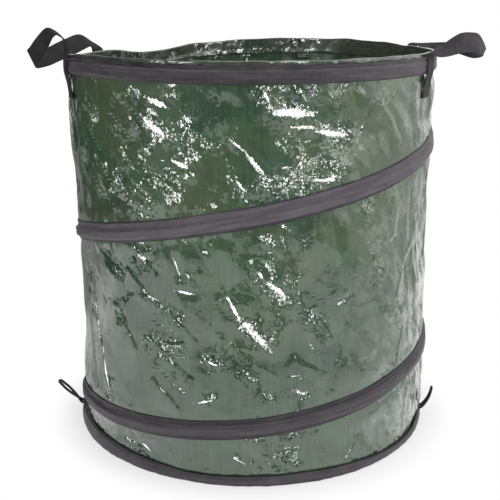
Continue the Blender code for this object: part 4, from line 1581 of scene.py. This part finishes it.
@dataclass
class SpringWire:
    """The steel wire: a ring at the foot, one at the mouth with its ferrule, and the spiral."""

    steps: int = 520
    ring_steps: int = 300
    sides: int = 10
    ferrule_length: float = 0.033
    ferrule_z: float = 0.48575

    def build(self, steel: Material, crimp: Material) -> None:
        """Make the climbing wire, the two rings and the ferrule that closes the mouth's."""
        begin = SPIRAL.first + SPIRAL.lap + 0.0013
        end = SPIRAL.last - SPIRAL.lap - 0.0013
        angle = np.linspace(begin, end, self.steps)
        z = SPIRAL.height(angle)
        z = z + MOUTH.sinking(angle, z)
        run = around(SIZES.wire - DENT.inwards(angle, z), angle, z)
        radii = np.full(self.steps, SIZES.wire_diameter / 2)
        wire = add_piece("spiral_spring", tube("spiral_spring", run, radii, self.sides), steel)
        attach(wire, "base")
        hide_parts("spiral_wire")
        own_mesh(wire)
        for name, body, node, first, low in (
            ("mouth_ring", "rim", "rim_ring_wire", SPIRAL.last - SPIRAL.lap, SPIRAL.high),
            ("foot_ring", "base", "base_ring_wire", SPIRAL.first - SPIRAL.lap, 0.01065),
        ):
            angle = np.linspace(first, first + TURN + 2 * SPIRAL.lap, self.ring_steps)
            z = low + 0.0028 * (angle - first) / TURN
            if body == "base":
                under = sum(FOOT.height(angle + off) for off in (-0.06, -0.02, 0.02, 0.06)) / 4
                z = np.minimum(z, under - 0.0026)
            run = around(SIZES.wire, angle, z + MOUTH.sinking(angle, z))
            ring = add_piece(name, tube(name, run, radii[:self.ring_steps], self.sides), steel)
            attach(ring, body)
            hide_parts(node)
            log.info("%s: %d faces", name, len(ring.data.polygons))
        self.add_ferrule(SPIRAL.last - SPIRAL.lap, crimp)
        log.info("spiral wire: %d faces", len(wire.data.polygons))

    def add_ferrule(self, first: float, crimp: Material) -> None:
        """Make the oval tube that is pressed over the ring's two ends."""
        half_turn = self.ferrule_length / 2 / SIZES.wire

        def place(s: Array, t: Array) -> tuple[Array, Array]:
            """Return the ferrule's outer face."""
            angle = first - SPIRAL.lap + 2 * half_turn * s
            turn = TURN * t
            press = 1 - 0.10 * (np.cos(14 * math.pi * s) > 0.2)
            flare = 1 - 0.12 * eased(np.abs(2 * s - 1) * 6 - 5)
            out = 0.00190 * press * flare * np.cos(turn)
            up = np.sign(np.sin(turn)) * 0.0014 + 0.00190 * flare * np.sin(turn)
            z = self.ferrule_z + 0 * s
            points = around(SIZES.wire + out, angle, z + up + MOUTH.sinking(angle, z))
            return points, np.stack([angle * SIZES.wire, t * 0.017], axis=1)

        mesh = grid_sheet("mouth_ferrule", 56, 28, place)
        close_ends(mesh)
        ferrule = add_piece("mouth_ferrule", mesh, crimp)
        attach(ferrule, "rim")
        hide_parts("upper_ferrule")


# The straps' two edges in mm, and their painted light and shade at shares of the straps' length

LEFT_EDGES = (
    ((-229, -70, 500), (-220, -94, 499)), ((-228, -69, 508), (-218, -93, 507)),
    ((-231, -64, 517), (-223, -88, 515)), ((-242, -54, 525), (-234, -78, 521)),
    ((-253, -50, 528), (-241, -70, 518)), ((-265, -46, 518), (-246, -62, 512)),
    ((-276, -40, 506), (-255, -52, 499)), ((-284, -24, 499), (-273, -32, 479)),
    ((-277, 0, 495), (-262, -12, 479)), ((-263, 27, 503), (-250, 17, 484)),
    ((-250, 56, 510), (-239, 48, 489)), ((-237, 87, 514), (-228, 73, 495)),
    ((-224, 110, 503), (-222, 86, 498)), ((-210, 116, 492), (-221, 94, 492)),
)
RIGHT_EDGES = (
    ((221, -93, 499), (210, -115, 499)), ((225, -91, 506), (216, -113, 498)),
    ((233, -87, 508), (226, -107, 495)), ((243, -83, 515), (239, -97, 495)),
    ((256, -75, 521), (255, -81, 497)), ((272, -57, 521), (272, -67, 498)),
    ((288, -36, 517), (289, -44, 494)), ((306, -1, 498), (297, -23, 490)),
    ((305, 20, 498), (291, 4, 486)), ((291, 45, 501), (278, 27, 490)),
    ((272, 65, 502), (261, 45, 494)), ((256, 81, 501), (245, 59, 495)),
    ((239, 88, 500), (233, 64, 496)), ((222, 94, 499), (229, 70, 499)),
)
# Painted light and shade along each strap: paler faces, darker hollows, and a painted highlight
# along the right strap's fold.
LEFT_PAINTED_LIGHT = ((0, 0.6), (0.30, 0.55), (0.42, 0.35), (0.50, 0.40), (0.72, 0.50), (0.80, 0.05),
             (0.86, 0.45), (1, 0.4))
RIGHT_PAINTED_LIGHT = ((0, 0.45), (0.20, 0.50), (0.40, 0.62), (0.487, 0.80), (0.497, 1.0), (0.507, 0.45),
              (0.56, 0.30), (0.60, 0.0), (0.76, 0.05), (0.85, 0.45), (1, 0.4))


@dataclass
class WebbingHandle:
    """One strap: sewn down the outside of the rim, out into its loop and back to the rim.

    The seat gives the radius and height of the places that a sewn end passes, from its foot up.
    """

    side: str
    edges: tuple
    front: float
    rear: float
    sense: int
    painted_light_share: tuple
    thick: float = 0.0015
    half: float = 0.0125
    seat: tuple = (
        (0.2352, 0.4472), (0.2360, 0.4560), (0.2372, 0.4650), (0.2388, 0.4725),
        (0.24020, 0.4795), (0.24030, 0.4880),
    )

    def sewn(self, degrees: float, upward: bool) -> list[tuple[Array, Array]]:
        """Return the two edges of a sewn end, in the order in which the strap runs."""
        angle = math.radians(degrees)
        tangent = np.array((-math.sin(angle), math.cos(angle), 0.0))
        outward = np.array((math.cos(angle), math.sin(angle), 0.0))
        stations = []
        for radius, z in self.seat:
            sunk = float(MOUTH.sinking(np.array([angle]), np.array([0.48]))[0])
            middle = outward * radius + np.array((0.0, 0.0, z + sunk))
            bend = outward * 0.0003
            stations.append((middle + self.sense * tangent * self.half - bend,
                             middle - self.sense * tangent * self.half - bend))
        return stations if upward else stations[::-1]

    def build(self, webbing: Material) -> Piece:
        """Make the strap."""
        free = [(np.array(a) / MM, np.array(b) / MM) for a, b in self.edges]
        stations = self.sewn(self.front, True) + free + self.sewn(self.rear, False)
        first = smooth_run(np.array([a for a, _ in stations]), 7)
        second = smooth_run(np.array([b for _, b in stations]), 7)
        far = lengths_along((first + second) / 2)
        count = len(first) - 1

        def place(s: Array, t: Array) -> tuple[Array, Array]:
            """Return the strap's middle sheet."""
            i = np.clip(np.round(s * count).astype(int), 0, count)
            points = first[i] * (1 - t)[:, None] + second[i] * t[:, None]
            return points, np.stack([far[i], (t - 0.5) * 2 * self.half], axis=1)

        name = self.side + "_handle_strap"
        mesh = grid_sheet(name, count, 8, place)
        self.mark_painted_light(mesh, far)
        strap = add_piece(name, mesh, webbing)
        thicken(strap, self.thick, 0.0, 0.00035)
        body = self.side + "_handle"
        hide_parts(body, self.side + "_strap_end_front", self.side + "_strap_end_rear")
        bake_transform(strap)
        log.info("%s: %.0f mm long, %d faces", name, far[-1] * MM, len(strap.data.polygons))
        return strap

    def mark_painted_light(self, mesh: Mesh, far: Array) -> None:
        """Write onto the strap's points its painted light and shade along its length."""
        share, value = np.array(self.painted_light_share).T
        mark_points(mesh, "painted_light_tone", np.interp(cloth_places(mesh)[0] / far[-1], share, value))


@dataclass
class ElasticLoop:
    """A closing loop of elastic cord, caught by both its ends in the base ribbon.

    The shape gives shares of the loop's reach and of its spread, from an end to the tip, and the
    caps how far each ring of a rounded end lies beyond it and how narrow it is.
    """

    side: str
    angle: float
    z: float
    reach: float
    rise: float
    twist: float
    curl: float = 0.0
    root: float = 0.0026
    cord: float = 0.0036
    spread: float = 0.0088
    seat: float = 0.2409
    shape: tuple = (
        (0, 1), (0.2, 0.92), (0.42, 0.80), (0.64, 0.70), (0.82, 0.60), (0.93, 0.52), (0.982, 0.33),
    )
    caps: tuple = ((0.0014, 0.36), (0.0009, 0.78))

    def route(self) -> Array:
        """Return the loop's middle line, out from the ribbon, round its tip and back."""
        place = Matrix.Translation((self.seat * math.cos(self.angle),
                                    self.seat * math.sin(self.angle), self.z))
        seat = place @ Matrix.Rotation(self.angle, 4, "Z") @ Matrix.Rotation(-self.rise, 4, "Y")
        points = []
        for side in (1, -1):
            for far, wide in self.shape if side > 0 else reversed(self.shape):
                turned = self.twist * min(1.0, far / 0.6)
                off = side * wide * self.spread / 2
                bent = self.curl * (far * far - far) * self.reach
                points.append(seat @ Vector((far * self.reach, off * math.cos(turned),
                                             off * math.sin(turned) + bent)))
            if side > 0:
                points.append(seat @ Vector((self.reach, 0, 0)))
        inward = -self.root * Vector((math.cos(self.angle), math.sin(self.angle), 0.25))
        points = [points[0] + inward, *points, points[-1] + inward]
        return smooth_run(np.array(points), 6)

    def build(self, braid: Material) -> Piece:
        """Make the loop."""
        run = self.route()
        start, end = run[0], run[-1]
        back_start, back_end = start - run[1], end - run[-2]
        back_start /= np.linalg.norm(back_start)
        back_end /= np.linalg.norm(back_end)
        head = [start + back_start * far for far, _ in self.caps]
        tail = [end + back_end * far for far, _ in reversed(self.caps)]
        whole = np.vstack([head, run, tail])
        radii = np.full(len(whole), self.cord / 2)
        radii[:2] *= [size for _, size in self.caps]
        radii[-2:] *= [size for _, size in reversed(self.caps)]
        name = self.side + "_elastic_loop"
        loop = add_piece(name, tube(name, whole, radii, 14), braid)
        node = self.side + "_loop"
        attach(loop, node)
        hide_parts(node)
        log.info("%s: %.1f mm long", name, lengths_along(run)[-1] * MM)
        return loop


def dress_ferrule(crimp: Material) -> None:
    """Give the foot ring's ferrule, which stays from the CAD model, its metal."""
    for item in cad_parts["lower_ferrule"].material_slots:
        item.material = crimp


def main() -> None:
    """Build the bag, piece by piece, in its studio."""
    logging.basicConfig(level=logging.INFO, format="%(name)s: %(message)s")
    Studio().build()
    braid = Braid().make()
    ElasticLoop("left", math.radians(188), 0.018, 0.043, math.radians(48),
                math.radians(70)).build(braid)
    ElasticLoop("right", math.radians(351), 0.0095, 0.032, math.radians(66), 0.0,
                0.34).build(braid)
    film = Tarpaulin().make()
    # The hem's film is painted paler and greyer than the wall's, a painted reflection of the
    # bright surroundings.
    lining = Tarpaulin(name="hem_film_painted_reflection", green=(0.074, 0.097, 0.074), deep=(0.038, 0.056, 0.040),
                       olive=(0.074, 0.087, 0.062), crinkle=0.62, grain=0.42,
                       zoned=(0.44, 0.70, 0.16), folded=False).make()
    flooring = Tarpaulin(name="floor_film", crinkle=0.8, folded=False).make()
    # The left strap's webbing is darker than the right one's.
    darker_webbing = Webbing("dark_webbing", (0.009, 0.008, 0.009), (0.046, 0.043, 0.046)).make()
    paler_webbing = Webbing("black_webbing", (0.012, 0.011, 0.014), (0.098, 0.091, 0.096)).make()
    steel = Metal("drawn_spring_steel", (0.45, 0.45, 0.46), 0.25).make()
    crimp = Metal("pressed_aluminium", (0.62, 0.62, 0.63), 0.3).make()
    hem = MouthHem().build(lining)
    FloorPanel().build(flooring, lining)
    ribbons = [
        Ribbon(Run.RIM, 640).build(SatinRibbon("rim_satin", (-0.0118, 0.0090)).make()),
        Ribbon(Run.BASE, 640).build(SatinRibbon("base_satin", (0.0112,)).make()),
        Ribbon(Run.SPIRAL, 1100).build(
            SatinRibbon("spiral_satin", (-0.0108, 0.0052, 0.0108)).make()),
    ]
    wall = WallPanel().build(film, lining)
    SpringWire().build(steel, crimp)
    WebbingHandle("left", LEFT_EDGES, *SIZES.left_strap, -1, LEFT_PAINTED_LIGHT).build(darker_webbing)
    WebbingHandle("right", RIGHT_EDGES, *SIZES.right_strap, 1, RIGHT_PAINTED_LIGHT).build(paler_webbing)
    dress_ferrule(crimp)


if __name__ == "__main__":
    main()
